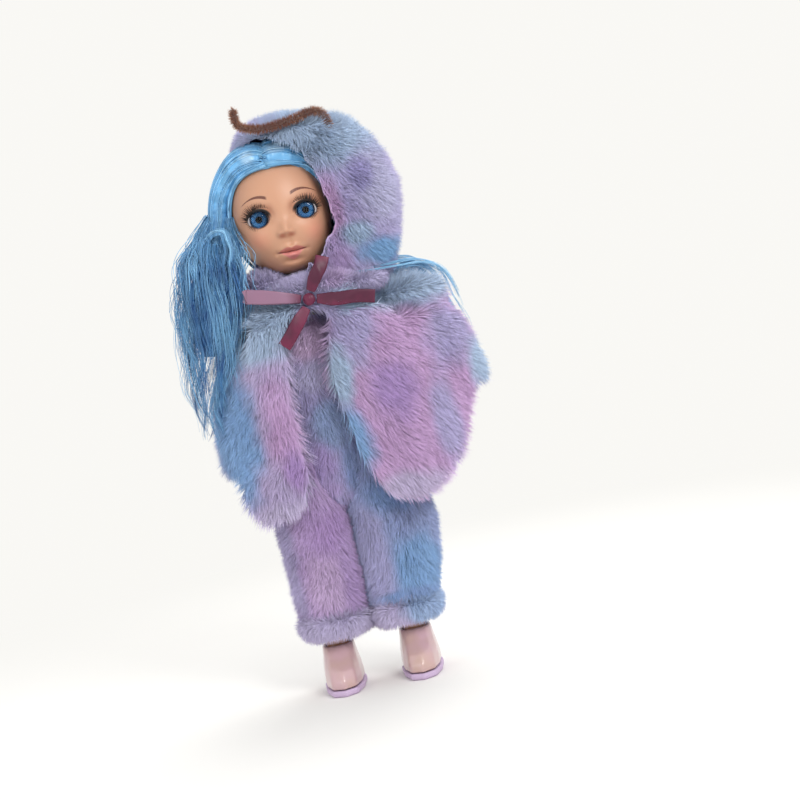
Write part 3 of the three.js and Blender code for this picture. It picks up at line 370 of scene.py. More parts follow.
def group(name, inputs, outputs):
    """An empty shader node group with named sockets."""
    made = bpy.data.node_groups.new(name, "ShaderNodeTree")
    for label, kind, value in inputs:
        socket = made.interface.new_socket(label, in_out="INPUT", socket_type=kind)
        if value is not None:
            socket.default_value = value
    for label, kind in outputs:
        made.interface.new_socket(label, in_out="OUTPUT", socket_type=kind)
    return made, made.nodes.new("NodeGroupInput"), made.nodes.new("NodeGroupOutput")


def use(tree, made, **values):
    node = tree.nodes.new("ShaderNodeGroup")
    node.node_tree = made
    for key, value in values.items():
        plug(tree, value, node.inputs[key.replace("_", " ")])
    return node


# %% Floor material
floor_stuff, tree, shader = new_material("pale paper", Roughness=0.9)
place = object_place(tree)
dust = grain(tree, place, 6.0, 4.0)
plug(tree, mix(tree, dust, (0.86, 0.85, 0.82, 1), (0.9, 0.89, 0.86, 1)), shader.inputs["Base Color"])
far = tree.nodes.new("ShaderNodeVectorMath")
far.operation = "LENGTH"
plug(tree, place, far.inputs[0])
fade = Flow(tree, far.outputs["Value"]).between(0.16, 0.6)
glow = tree.nodes.new("ShaderNodeEmission")
glow.inputs["Color"].default_value = (0.95, 0.94, 0.91, 1)
blend_in = tree.nodes.new("ShaderNodeMixShader")
plug(tree, fade, blend_in.inputs["Fac"])
tree.links.new(shader.outputs[0], blend_in.inputs[1])
tree.links.new(glow.outputs[0], blend_in.inputs[2])
finish_node = next(n for n in tree.nodes if n.type == "OUTPUT_MATERIAL")
tree.links.new(blend_in.outputs[0], finish_node.inputs["Surface"])
floor.data.materials.append(floor_stuff)

# %% [markdown]
# ## The head
# The real head is soft vinyl, cast in a mould and painted. An egg is pulled into a face: one function gives the
# place of every point, and adds the nose, the sockets, the cheeks, the lips and the chin as soft bumps. The eye
# openings are cut out of it, and their edges are drawn inwards as lids. A sphere of many small faces keeps the
# lips and the lids crisp, which a few large faces with a subdivision would not.


# %% The face's form
def bell(v, centre, width):
    return math.exp(-((v - centre) / width) ** 2)


EYE = (14.4, -17.99, -3.2)
EYE_R = 8.5
LID_WIDE = 6.3
LID_HIGH = 5.2


MOUTH_X = 1.2


def face_relief(x, z):
    """How far the face stands out of the plain egg, in millimetres."""
    m = x - MOUTH_X
    x = abs(x)
    around = math.hypot((x - EYE[0]) / LID_WIDE, (z - EYE[2]) / LID_HIGH)
    stand = 4.6 * bell(x, 0, 3.4) * bell(z, -13.4, 6 if z > -13.4 else 2.6)
    stand += 1.6 * bell(x, 4, 1.8) * bell(z, -14.2, 2)
    stand -= 2.4 * bell(x, 14.4, 7.5) * bell(z, -3.2, 6)
    stand -= 1.8 * bell(x, 8.4, 3.0) * bell(z, -3.6, 4)
    stand += 2.2 * bell(x, 17, 8) * bell(z, -16, 8)
    stand += 3.2 * bell(x, 0, 8) * bell(z, -35, 4.6)
    bow = -23.6 + 0.7 * bell(abs(m), 3.0, 1.8)
    stand += 2.0 * bell(m, 0, 5.6) * bell(z, bow, 1.9)
    stand += 2.9 * bell(m, 0, 4.4) * bell(z, -28.0, 1.9)
    stand -= 1.7 * bell(m, 0, 6.6) * bell(z, -25.7 + 0.35 * bell(m, 0, 1.6), 0.7)
    stand -= 0.6 * bell(m, 0, 1.2) * bell(z, -19.8, 2.2)
    stand -= 1.0 * bell(m, 0, 6) * bell(z, -31.2, 1.5)
    stand -= 0.6 * bell(abs(m), 9.4, 1.3) * bell(z, -25.6, 1.6)
    if z > EYE[2] - 2:
        stand += 0.45 * bell(around, 1.2, 0.16)
        stand -= 0.3 * bell(around, 1.5, 0.1)
    return stand


def girth(rise):
    """How wide the head is at a height, as a share of its widest."""
    slim = math.sqrt(max(0.0004, 1 - rise * rise))
    return slim ** 0.84 if rise < 0 else slim


def head_place(way, grow, features):
    """The place on the head, in millimetres, that a direction from its middle reaches."""
    rise = max(-1.0, min(1.0, way.z))
    slim = math.sqrt(max(0.0, 1 - rise * rise))
    flat = math.hypot(way.x, way.y)
    c, s = (way.x / flat, way.y / flat) if flat > 1e-9 else (1.0, 0.0)
    jaw = slim ** 0.6 if rise < 0 and s < 0 else slim
    depth = -(33 + grow) * jaw if s < 0 else (40 + grow) * slim
    x = (30.5 + grow) * (girth(rise) if slim > 0.02 else slim) * c
    y = depth * abs(s)
    z = (39 + grow) * rise
    if features and s < 0:
        y -= face_relief(x, z) * min(1.0, 3 * abs(s))
    return Vector((x, y, z))


def front_of_head(x, z, grow):
    """The place on the front of the plain head over a point of the face."""
    rise = z / (39 + grow)
    slim = math.sqrt(max(0.0004, 1 - rise * rise))
    across = max(-0.999, min(0.999, x / ((30.5 + grow) * girth(rise))))
    jaw = slim ** 0.6 if rise < 0 else slim
    return Vector(((30.5 + grow) * girth(rise) * across, -(33 + grow) * jaw * math.sqrt(1 - across * across), z))


def egg(around, levels, grow, features):
    bm = bmesh.new()
    bmesh.ops.create_uvsphere(bm, u_segments=around, v_segments=levels, radius=1)
    for v in bm.verts:
        v.co = head_place(v.co.normalized(), grow, features)
    return bm


# %% The head with its eye openings
def split_near(bm, places, reach):
    """Cuts the faces near some places into four."""
    near = [f for f in bm.faces if any((f.calc_center_median() - p).length < reach for p in places)]
    edges = list({e for f in near for e in f.edges})
    bmesh.ops.subdivide_edges(bm, edges=edges, cuts=1, use_grid_fill=True)


head_mesh = bmesh.new()
bmesh.ops.create_uvsphere(head_mesh, u_segments=224, v_segments=150, radius=1)
for v in head_mesh.verts:
    v.co = v.co.normalized()
spots = [Vector((s * 0.48, -0.87, -0.08)) for s in (1, -1)] + [Vector((0, -0.72, -0.68)), Vector((0, -0.9, -0.37))]
split_near(head_mesh, spots, 0.3)
for v in head_mesh.verts:
    v.co = head_place(v.co.normalized(), 0, True)


def around_eye(co):
    return math.hypot((abs(co.x) - EYE[0]) / LID_WIDE, (co.z - EYE[2]) / LID_HIGH)


hole = [f for f in head_mesh.faces if f.calc_center_median().y < 0 and around_eye(f.calc_center_median()) < 1]
bmesh.ops.delete(head_mesh, geom=hole, context="FACES")
rim = [e for e in head_mesh.edges if e.is_boundary]
for v in {v for e in rim for v in e.verts}:
    sign = 1 if v.co.x > 0 else -1
    share = around_eye(v.co)
    v.co.x = sign * (EYE[0] + (abs(v.co.x) - EYE[0]) / share)
    v.co.z = EYE[2] + (v.co.z - EYE[2]) / share
for step_back, shrink in ((0.35, 0.975), (0.5, 0.965), (2.6, 1.0), (3.0, 1.12)):
    made = bmesh.ops.extrude_edge_only(head_mesh, edges=rim)["geom"]
    rim = [g for g in made if isinstance(g, bmesh.types.BMEdge) and g.is_boundary]
    for v in {v for e in rim for v in e.verts}:
        sign = 1 if v.co.x > 0 else -1
        v.co.x = sign * (EYE[0] + (abs(v.co.x) - EYE[0]) * shrink)
        v.co.z = EYE[2] + (v.co.z - EYE[2]) * shrink
        v.co.y += step_back
bmesh.ops.recalc_face_normals(head_mesh, faces=head_mesh.faces)
for v in head_mesh.verts:
    v.co = from_head(v.co)
head = piece_from(head_mesh, "painted_head")
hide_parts("head_shell")
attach(head, "head")
print("head", count(head), "triangles")

# %% [markdown]
# ## The eyes
# Each eye is cast acrylic: a white ball with a shallow seat, a printed disc in it, and a clear dome on top that
# gives the wet highlight. The three are kept apart, because a painted ball looks flat from the side.


# %% Eyeballs, irises and clear domes
def ball(name, sign, change, sides=72):
    bm = bmesh.new()
    bmesh.ops.create_uvsphere(bm, u_segments=sides, v_segments=sides // 2, radius=1)
    bmesh.ops.rotate(bm, verts=bm.verts, cent=(0, 0, 0), matrix=Matrix.Rotation(math.radians(90), 3, "X"))
    for v in bm.verts:
        v.co = from_head(Vector((sign * EYE[0], EYE[1], EYE[2])) + change(v.co.copy()))
    return piece_from(bm, name)


IRIS_R = 5.5


def seat(p):
    """The ball has a seat of a little more than the iris's width in front."""
    p = p * EYE_R
    across = math.hypot(p.x, p.z)
    if p.y < 0 and across < IRIS_R + 0.2:
        p.y = -5.2
    return p


def disc(p):
    across = math.hypot(p.x, p.z)
    front = p.y < 0
    return Vector((p.x * IRIS_R, -5.3 - (0.5 + 0.35 * across ** 2 if front else 0), p.z * IRIS_R))


def dome(p):
    across = min(1.0, math.hypot(p.x, p.z))
    rise = math.sqrt(max(0.0, 1 - across * across))
    reach = IRIS_R + 0.15
    edge = math.sqrt(EYE_R ** 2 - reach ** 2)
    front = -edge - 0.2 - 2.1 * rise ** 0.9
    back_side = -6.25
    return Vector((p.x * reach, front if p.y < 0 else back_side, p.z * reach))


eyes = {}
for word, sign in (("left", 1), ("right", -1)):
    eyes[word] = (ball(f"eye_white_{word}", sign, seat, 80), ball(f"eye_iris_{word}", sign, disc),
                  ball(f"eye_dome_{word}", sign, dome))
    for piece, node, slot in zip(eyes[word], ("eyeball", "iris", "cornea"),
                                 ("acrylic_white", "acrylic_blue", "acrylic_clear")):
        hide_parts(f"{node}_{word}")
        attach(piece, "head")

# %% [markdown]
# ## Fine hairs
# Head hair, lashes and the loose wisps are all fine threads. One straight closed tube is extruded from a small
# circle, an Array modifier repeats it, and each copy is then laid along its own route, thinner to its tip. Curve
# objects could hold them too, but their ends come out open. Each thread gets its own small tile of the UV map
# OFBake.


# %% Threads
def tile_uv(mesh, loops_each, pattern):
    """Gives each of the repeated shapes in a mesh its own square tile."""
    shapes = len(mesh.loops) // loops_each
    side = math.ceil(math.sqrt(shapes))
    index = np.arange(shapes)
    corner = np.stack([index % side, index // side], axis=1)[:, None, :]
    places = (corner + 0.08 + 0.84 * pattern[None, :, :]) / side
    layer = mesh.uv_layers.get("OFBake") or mesh.uv_layers.new(name="OFBake")
    layer.data.foreach_set("uv", places.reshape(-1).astype(np.float32))


def blank_thread(points, sides):
    """A straight closed tube with one ring for each point of a route."""
    bm = bmesh.new()
    bmesh.ops.create_circle(bm, cap_ends=True, segments=sides, radius=1)
    end = bm.faces[:]
    for _ in range(points - 1):
        made = bmesh.ops.extrude_face_region(bm, geom=end)["geom"]
        end = [g for g in made if isinstance(g, bmesh.types.BMFace)]
        bmesh.ops.translate(bm, verts=[g for g in made if isinstance(g, bmesh.types.BMVert)], vec=(0, 0, 1))
    bmesh.ops.recalc_face_normals(bm, faces=bm.faces)
    return bm


def threads(name, routes, thick, tip=0.25, seed=1, sides=3, clump=1):
    """Routes are lists of places in metres, all of one length. thick is a diameter in millimetres. The threads of
    a clump have almost one shade."""
    points = len(routes[0])
    piece = piece_from(blank_thread(points, sides), name)
    blank = np.array([v.co for v in piece.data.vertices])
    loops_each = len(piece.data.loops)
    first = [blank[l.vertex_index] for l in piece.data.loops]
    pattern = np.array([[(math.atan2(c[1], c[0]) / math.tau) % 1.0, c[2] / (points - 1)] for c in first])
    copies = piece.modifiers.new("copies", "ARRAY")
    copies.count = len(routes)
    copies.use_relative_offset = False
    copies.use_constant_offset = True
    copies.constant_offset_displace = (3, 0, 0)
    settle(piece)
    path = np.array([[tuple(p) for p in route] for route in routes])
    ahead = np.gradient(path, axis=1)
    ahead /= np.linalg.norm(ahead, axis=2, keepdims=True)
    across = np.cross(ahead, np.array((0.31, 0.87, 0.38)))
    across /= np.linalg.norm(across, axis=2, keepdims=True)
    up = np.cross(ahead, across)
    ring = np.round(blank[:, 2]).astype(int)
    share = ring / (points - 1)
    radius = thick * MM / 2 * (1 - (1 - tip) * share ** 2)
    places = path[:, ring] + across[:, ring] * (blank[:, 0] * radius)[None, :, None] \
        + up[:, ring] * (blank[:, 1] * radius)[None, :, None]
    mesh = piece.data
    mesh.vertices.foreach_set("co", places.reshape(-1).astype(np.float32))
    tile_uv(mesh, loops_each, pattern)
    pick = random.Random(seed)
    clump_shade = [pick.random() for _ in range(len(routes) // clump + 1)]
    own = 1.0 if clump == 1 else 0.35
    shades = [own * pick.random() + (1 - own) * clump_shade[i // clump] for i in range(len(routes))]
    shade = np.repeat(shades, len(blank))
    for label, values in (("shade", shade), ("along", np.tile(share, len(routes)))):
        layer = mesh.attributes.new(label, "FLOAT", "POINT")
        layer.data.foreach_set("value", values.astype(np.float32))
    mesh.update()
    return piece


# %% Lashes
def lash_route(sign, angle, length, forward, points=8):
    """A lash grows from the lid's edge at an angle round the eye, and curls away from it."""
    c, s = math.cos(angle), math.sin(angle)
    x = EYE[0] + LID_WIDE * 0.99 * c
    z = EYE[2] + LID_HIGH * 0.99 * s
    root = front_of_head(x, z, 0)
    root.y -= face_relief(x, z) - 0.15
    away = Vector((c * 0.9, -forward, s)).normalized()
    curl = Vector((c * 0.5, 0.25, s * 1.1))
    route = []
    for i in range(points):
        t = i / (points - 1)
        p = root + away * (length * t) + curl * (0.35 * length * t * t)
        route.append(from_head((sign * p.x, p.y, p.z)))
    return route


chance = random.Random(4)
for word, sign in (("left", 1), ("right", -1)):
    routes = []
    for i in range(58):
        share = i / 57
        angle = math.radians(2 + 160 * share)
        length = 4.6 - 1.9 * share + (0.6 if i % 3 else -0.5) + chance.uniform(-0.3, 0.3)
        routes.append(lash_route(sign, angle + chance.uniform(-0.04, 0.04), length, 0.7))
    for i in range(15):
        angle = math.radians(-8 - 112 * i / 14)
        routes.append(lash_route(sign, angle, 1.9 - 0.5 * i / 14 + chance.uniform(-0.3, 0.3), 0.35))
    lashes = threads(f"lash_hairs_{word}", routes, 0.52, 0.12, seed=7)
    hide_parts(f"lashes_{word}")
    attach(lashes, "head")

# %% [markdown]
# ## The hair
# The doll's hair is a wig: smooth over the forehead from a parting, and long and wavy where it leaves the hood.
# A closed cap gives the colour and hides the scalp, and a layer of combed threads lies on it. The locks are a
# core with bundles of wavy threads round it, because a bare solid would look like plastic.

# %% Hair cap
CAP_GROW = 2.4
FACE_WIDE = 32.5
FACE_TALL = 47.2
FACE_LOW = -20.5
SQUARE = 3.2


def past_hairline(co):
    """Under 1 inside the opening of the hair round the face, which is a little squarer than an ellipse."""
    if co.y > -1.7:
        return 2.0
    wide = abs(co.x / FACE_WIDE) ** SQUARE
    tall = abs((co.z - FACE_LOW) / FACE_TALL) ** SQUARE
    return (wide + tall) ** (1 / SQUARE)


cap_mesh = egg(128, 72, CAP_GROW, False)
bare = [f for f in cap_mesh.faces if past_hairline(f.calc_center_median()) < 1
        or f.calc_center_median().z < (-14 if f.calc_center_median().y < 12 else -31)]
bmesh.ops.delete(cap_mesh, geom=bare, context="FACES")
for v in {v for e in cap_mesh.edges if e.is_boundary for v in e.verts}:
    share = past_hairline(v.co)
    if 0.8 < share < 1.3:
        v.co = front_of_head(v.co.x / share, FACE_LOW + (v.co.z - FACE_LOW) / share, CAP_GROW)
for v in cap_mesh.verts:
    notch = bell(v.co.x, -3.0, 1.6) * (1 if v.co.z > 0 else 0)
    v.co = from_head(v.co * (1 - 0.02 * notch))
cap = piece_from(cap_mesh, "hair_cap_round")
wall = cap.modifiers.new("wall", "SOLIDIFY")
wall.thickness = 1.5 * MM
wall.offset = -1
settle(cap)
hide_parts("hair_cap")
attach(cap, "head")


# %% Combed threads over the head
PARTING_X = -3.0


def hairline_way(sign, t):
    """A direction along the hairline, from the parting down one side of the face."""
    angle = math.radians(8 + 98 * t)
    x = sign * FACE_WIDE * math.sin(angle) ** (2 / SQUARE)
    high = math.cos(angle)
    z = FACE_LOW + FACE_TALL * math.copysign(abs(high) ** (2 / SQUARE), high)
    start = Vector((PARTING_X, 0, 26.7))
    blend = min(1.0, t * 6)
    p = front_of_head(start.x * (1 - blend) + x * blend, start.z * (1 - blend) + z * blend, CAP_GROW)
    rise = p.z / (39 + CAP_GROW)
    slim = math.sqrt(max(0.0, 1 - rise * rise))
    across = max(-0.999, min(0.999, p.x / ((30.5 + CAP_GROW) * girth(rise))))
    return Vector((slim * across, -slim * math.sqrt(max(0.0, 1 - across * across)), rise))


def combed(count_each, seed, low, high):
    """Threads that run from the parting down both sides. low and high bound their height over the cap."""
    pick = random.Random(seed)
    routes = []
    for sign in (-1, 1):
        for i in range(count_each):
            u = ((i + pick.random()) / count_each) ** 1.3
            start = Vector((-0.17, -0.72 + 1.4 * u, 0.66 + 0.5 * math.sin(math.pi * u))).normalized()
            end = Vector((sign * 0.9, 0.1 + 0.7 * u, -0.45)).normalized()
            height = low + (high - low) * pick.random()
            wave = pick.uniform(0, 6.28)
            route = []
            for k in range(15):
                t = k / 14
                front = hairline_way(sign, t)
                rear = start.slerp(end, t)
                near = min(1.0, u * 3)
                way = (front * (1 - near) + rear * near + front * 0.02).normalized()
                p = head_place(way, CAP_GROW + 0.2 + height + 0.12 * math.sin(wave + 9 * t), False)
                p.y += 0.25 * math.sin(wave + 5 * t)
                route.append(from_head(p))
            routes.append(route)
    return routes


top_hair = threads("hair_combed", combed(360, 3, 0.0, 0.5), 0.8, 0.6, seed=5)
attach(top_hair, "head")

# %% [markdown]
# Over the forehead the hair rolls outwards on both sides of the parting, and the left roll runs on into the long
# lock. A bundle is a tube of oval section swept along rows of [x, y, z, half width, half thickness] in
# millimetres, with threads laid on its outer side.


# %% Bundles of hair
def along_rows(rows, t):
    """The row at a share of the way, as smooth as a Catmull-Rom curve."""
    place = t * (len(rows) - 1)
    i = min(int(place), len(rows) - 2)
    u = place - i
    four = [rows[max(0, min(len(rows) - 1, k))] for k in (i - 1, i, i + 1, i + 2)]
    return [0.5 * (2 * b + (c - a) * u + (2 * a - 5 * b + 4 * c - d) * u * u + (3 * b - a - 3 * c + d) * u ** 3)
            for a, b, c, d in zip(*four)]


class Bundle:
    """The middle line of a bundle, with the directions across it and out of the head at each point."""

    def __init__(self, rows, points, out_from):
        lines = np.array([along_rows(rows, i / (points - 1)) for i in range(points)])
        self.points = points
        self.path = lines[:, :3]
        self.wide = lines[:, 3]
        self.thick = lines[:, 4]
        self.ahead = np.gradient(self.path, axis=0)
        self.ahead /= np.linalg.norm(self.ahead, axis=1, keepdims=True)
        out = self.path - np.array(out_from)
        out -= self.ahead * (out * self.ahead).sum(axis=1, keepdims=True)
        self.out = out / np.linalg.norm(out, axis=1, keepdims=True)
        self.across = np.cross(self.out, self.ahead)

    def line(self, side, high, wave=0.0, lift=0.0):
        """A line along the bundle. side and high are shares of its half sizes; wave and lift are millimetres."""
        return (self.path + self.across * (self.wide * side + wave)[:, None]
                + self.out * (self.thick * high + lift)[:, None])


def to_metres(line):
    return [AXIS + Vector(p) * MM for p in line]


def core_of(bundle, name, sides=20, share=0.86):
    piece = piece_from(blank_thread(bundle.points, sides), name)
    blank = np.array([v.co for v in piece.data.vertices])
    ring = np.round(blank[:, 2]).astype(int)
    ends = np.minimum(1.0, np.minimum(ring, bundle.points - 1 - ring) / 3 + 0.35)
    places = (bundle.path[ring] + bundle.across[ring] * (bundle.wide[ring] * blank[:, 0] * share * ends)[:, None]
              + bundle.out[ring] * (bundle.thick[ring] * blank[:, 1] * share * ends)[:, None])
    places = places * MM + np.array(AXIS)
    piece.data.vertices.foreach_set("co", places.reshape(-1).astype(np.float32))
    piece.data.update()
    return piece


def lay_on(bundle, clumps, each, seed, curl, turns, low=-0.2, ragged=0.0, gather=0.7, loose=0.3, far=1.0):
    """Threads round a bundle's outer side, in clumps. The threads of a clump draw together, wave together and
    end together; ragged is how much shorter a clump may be than the bundle."""
    pick = random.Random(seed)
    whole = np.linspace(0, 1, bundle.points)
    routes = []
    for c in range(clumps):
        angle = math.pi * (low + (1 - 2 * low) * (c + pick.random()) / clumps)
        deep = far - 0.35 * pick.random() ** 2
        phase = pick.uniform(0, 6.28)
        pull = pick.uniform(0.5, 1.5)
        often = pick.uniform(0.75, 1.3)
        clump_reach = 1 - ragged * pick.random() ** 0.7
        for _ in range(each):
            reach = clump_reach * pick.uniform(0.9, 1.0)
            t = whole * reach
            grow_in = np.minimum(1, 2.2 * t)
            together = 1 - gather * np.minimum(1, 2 * whole)
            turning = math.tau * turns * often * t + phase + pick.gauss(0, 0.3)
            swing = curl * pull * grow_in * np.sin(turning)
            heave = 0.55 * curl * pull * grow_in * np.cos(turning)
            side = math.cos(angle) * deep + pick.gauss(0, loose) * together
            high = math.sin(angle) * deep + pick.gauss(0, loose) * 0.5 * together
            line = bundle.line(np.interp(whole, t, side), np.interp(whole, t, high), np.interp(whole, t, swing),
                               np.interp(whole, t, heave))
            there = np.stack([np.interp(t, whole, line[:, k]) for k in range(3)], axis=1)
            routes.append(to_metres(there))
    return routes


HEAD_MIDDLE = (0, 3, 297)
ROLLS = {
    "right": [[-2.6, -8.8, 331.2, 13.5, 6.6], [-6, -8.8, 331.8, 14.5, 8.2], [-11.5, -8.6, 331.8, 14.5, 8.8],
              [-19, -7.4, 329.4, 13, 8.4], [-26.4, -5.4, 323.6, 11.5, 7.6], [-32.8, -3.4, 315.6, 10.5, 6.8],
              [-37, -2, 305.6, 10, 6.4], [-38.6, -2.4, 296, 10, 6.4], [-41.4, -6, 286, 10, 5.6],
              [-43.4, -9, 278, 8, 3.4]],
    "left": [[-2.8, -8.8, 331.2, 13.5, 6.6], [1.5, -8.8, 331.8, 14.5, 8.2], [8, -8.6, 331.2, 14.5, 8.4],
             [14.6, -7.4, 328.4, 13, 7.6], [20, -5.4, 323.2, 11, 6], [24.4, -3.6, 315, 8.5, 4.4],
             [27.6, -2.6, 306, 6, 3.2], [31, -2, 296, 4, 2.2]]}
rolls = []
for word, rows in ROLLS.items():
    bundle = Bundle(rows, 26, HEAD_MIDDLE)
    core = core_of(bundle, f"hair_roll_{word}", sides=32, share=0.97)
    strands = lay_on(bundle, 60, 5, 17, 0.16, 1.2, -0.12, 0.0, 0.0, 0.035)
    fine = threads(f"hair_roll_threads_{word}", strands, 0.6, 0.8, seed=19)
    for piece in (core, fine):
        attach(piece, "head")
        rolls.append(piece)

# %% Locks
LOCK_RIGHT = [[-37, -5, 301, 6, 3], [-41.4, -10, 290, 10.4, 4.2], [-45, -17, 279, 15.6, 5.4],
              [-48.4, -23, 266, 18.8, 6.4], [-54.4, -27, 245, 17.6, 6.8], [-60, -29, 220, 14.4, 6.4],
              [-65.2, -30, 198, 10.8, 5.4], [-67.6, -30, 181, 7.4, 4], [-68.4, -30, 168, 4, 2.4]]
LOCK_LEFT = [[24, 30, 276, 4, 2], [28, 28, 264, 5, 2.4], [31, 22, 253, 5, 2.4], [42, 23, 249, 7, 2.6],
             [57, 28, 247, 9, 3], [70, 30, 246.5, 10, 3], [81, 31, 240, 10, 3], [89, 30, 228, 9, 3],
             [95, 29.6, 210, 7, 2.6], [96, 29.4, 192, 4, 1.6]]
WISP_LEFT = [[26, -10, 255, 2.4, 1.2], [34, -13, 252, 3, 1.4], [46, -11, 250.6, 4, 1.6], [61, -5, 250, 4.6, 1.6],
             [76, 3, 249, 4.6, 1.6], [88, 10, 242, 4, 1.4], [95, 14, 228, 3, 1.2], [98, 16, 214, 2, 1]]
WISP_RIGHT = [[-47, -16, 288, 2, 1], [-42, -20, 291.5, 2, 1], [-36, -23, 291, 2, 1], [-35, -24.5, 286, 2, 1],
              [-34.5, -26.5, 279, 2, 1], [-37, -29, 271, 2.4, 1], [-38, -32, 258, 2.4, 1], [-44, -33, 244, 1.6, 1]]


def lock(word, rows, clumps, each, seed, out_from, curl, core_share, wisp):
    """A core that stops short of the end, clumps of threads round it, and a few stray hairs of their own."""
    bundle = Bundle(rows, 34, out_from)
    core = core_of(Bundle(rows[:-3], 26, out_from), f"hair_core_{word}", share=core_share)
    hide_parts(f"hair_lock_{word}")
    strands = lay_on(bundle, clumps, each, seed, curl, 3.0, -0.35, 0.4, 0.72, 0.28)
    strands += lay_on(bundle, clumps // 4, each, seed + 1, 1.3 * curl, 3.4, -0.5, 0.3, 0.4, 0.3, 1.2)
    strands += lay_on(Bundle(wisp, 34, out_from), 3, each, seed + 2, 0.5, 1.4, -0.2, 0.3, 0.5, 0.5)
    fine = threads(f"hair_threads_{word}", strands, 0.45, 0.35, seed=seed, clump=each)
    for piece in (core, fine):
        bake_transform(piece)
    return core, fine


right_lock = lock("right", LOCK_RIGHT, 46, 11, 11, (-40, 60, 240), 2.9, 0.62, WISP_RIGHT)
left_lock = lock("left", LOCK_LEFT, 20, 9, 13, (50, 0, 200), 2.0, 0.3, WISP_LEFT)
print("hair", count(top_hair), count(right_lock[1]), count(left_lock[1]), "triangles")

# %% [markdown]
# ## The fur
# The clothes are faux fur: a knitted backing with a dense pile that leans the way it was brushed and gathers in
# small locks. The backing is a soft copy of the solid. The pile is many thin spikes, scattered over it by
# geometry nodes. Each leans along a brushed direction, turns towards the middle of its own little lock, and is a
# closed shape of four faces. Hair curves would look as good, but they could not be exported as a mesh.

# %% One spike of pile
spike_mesh = bmesh.new()
bmesh.ops.create_cone(spike_mesh, cap_ends=True, segments=3, radius1=0.5, radius2=0.0, depth=1)
bmesh.ops.remove_doubles(spike_mesh, verts=spike_mesh.verts, dist=1e-5)
bmesh.ops.translate(spike_mesh, verts=spike_mesh.verts, vec=(0, 0, 0.5))
bmesh.ops.recalc_face_normals(spike_mesh, faces=spike_mesh.faces)
spike = piece_from(spike_mesh, "spike")
height_layer = spike.data.attributes.new("along", "FLOAT", "POINT")
height_layer.data.foreach_set("value", [v.co.z for v in spike.data.vertices])
spike_pattern = np.array([[0.5 + spike.data.vertices[l.vertex_index].co.y * 0.9,
                           spike.data.vertices[l.vertex_index].co.z] for l in spike.data.loops])
SPIKE_LOOPS = len(spike.data.loops)
print("spike faces", len(spike.data.polygons), "triangles", count(spike))


# %% Pile nodes
def pick_socket(sockets, name):
    return next(s for s in sockets if s.name == name and s.enabled)


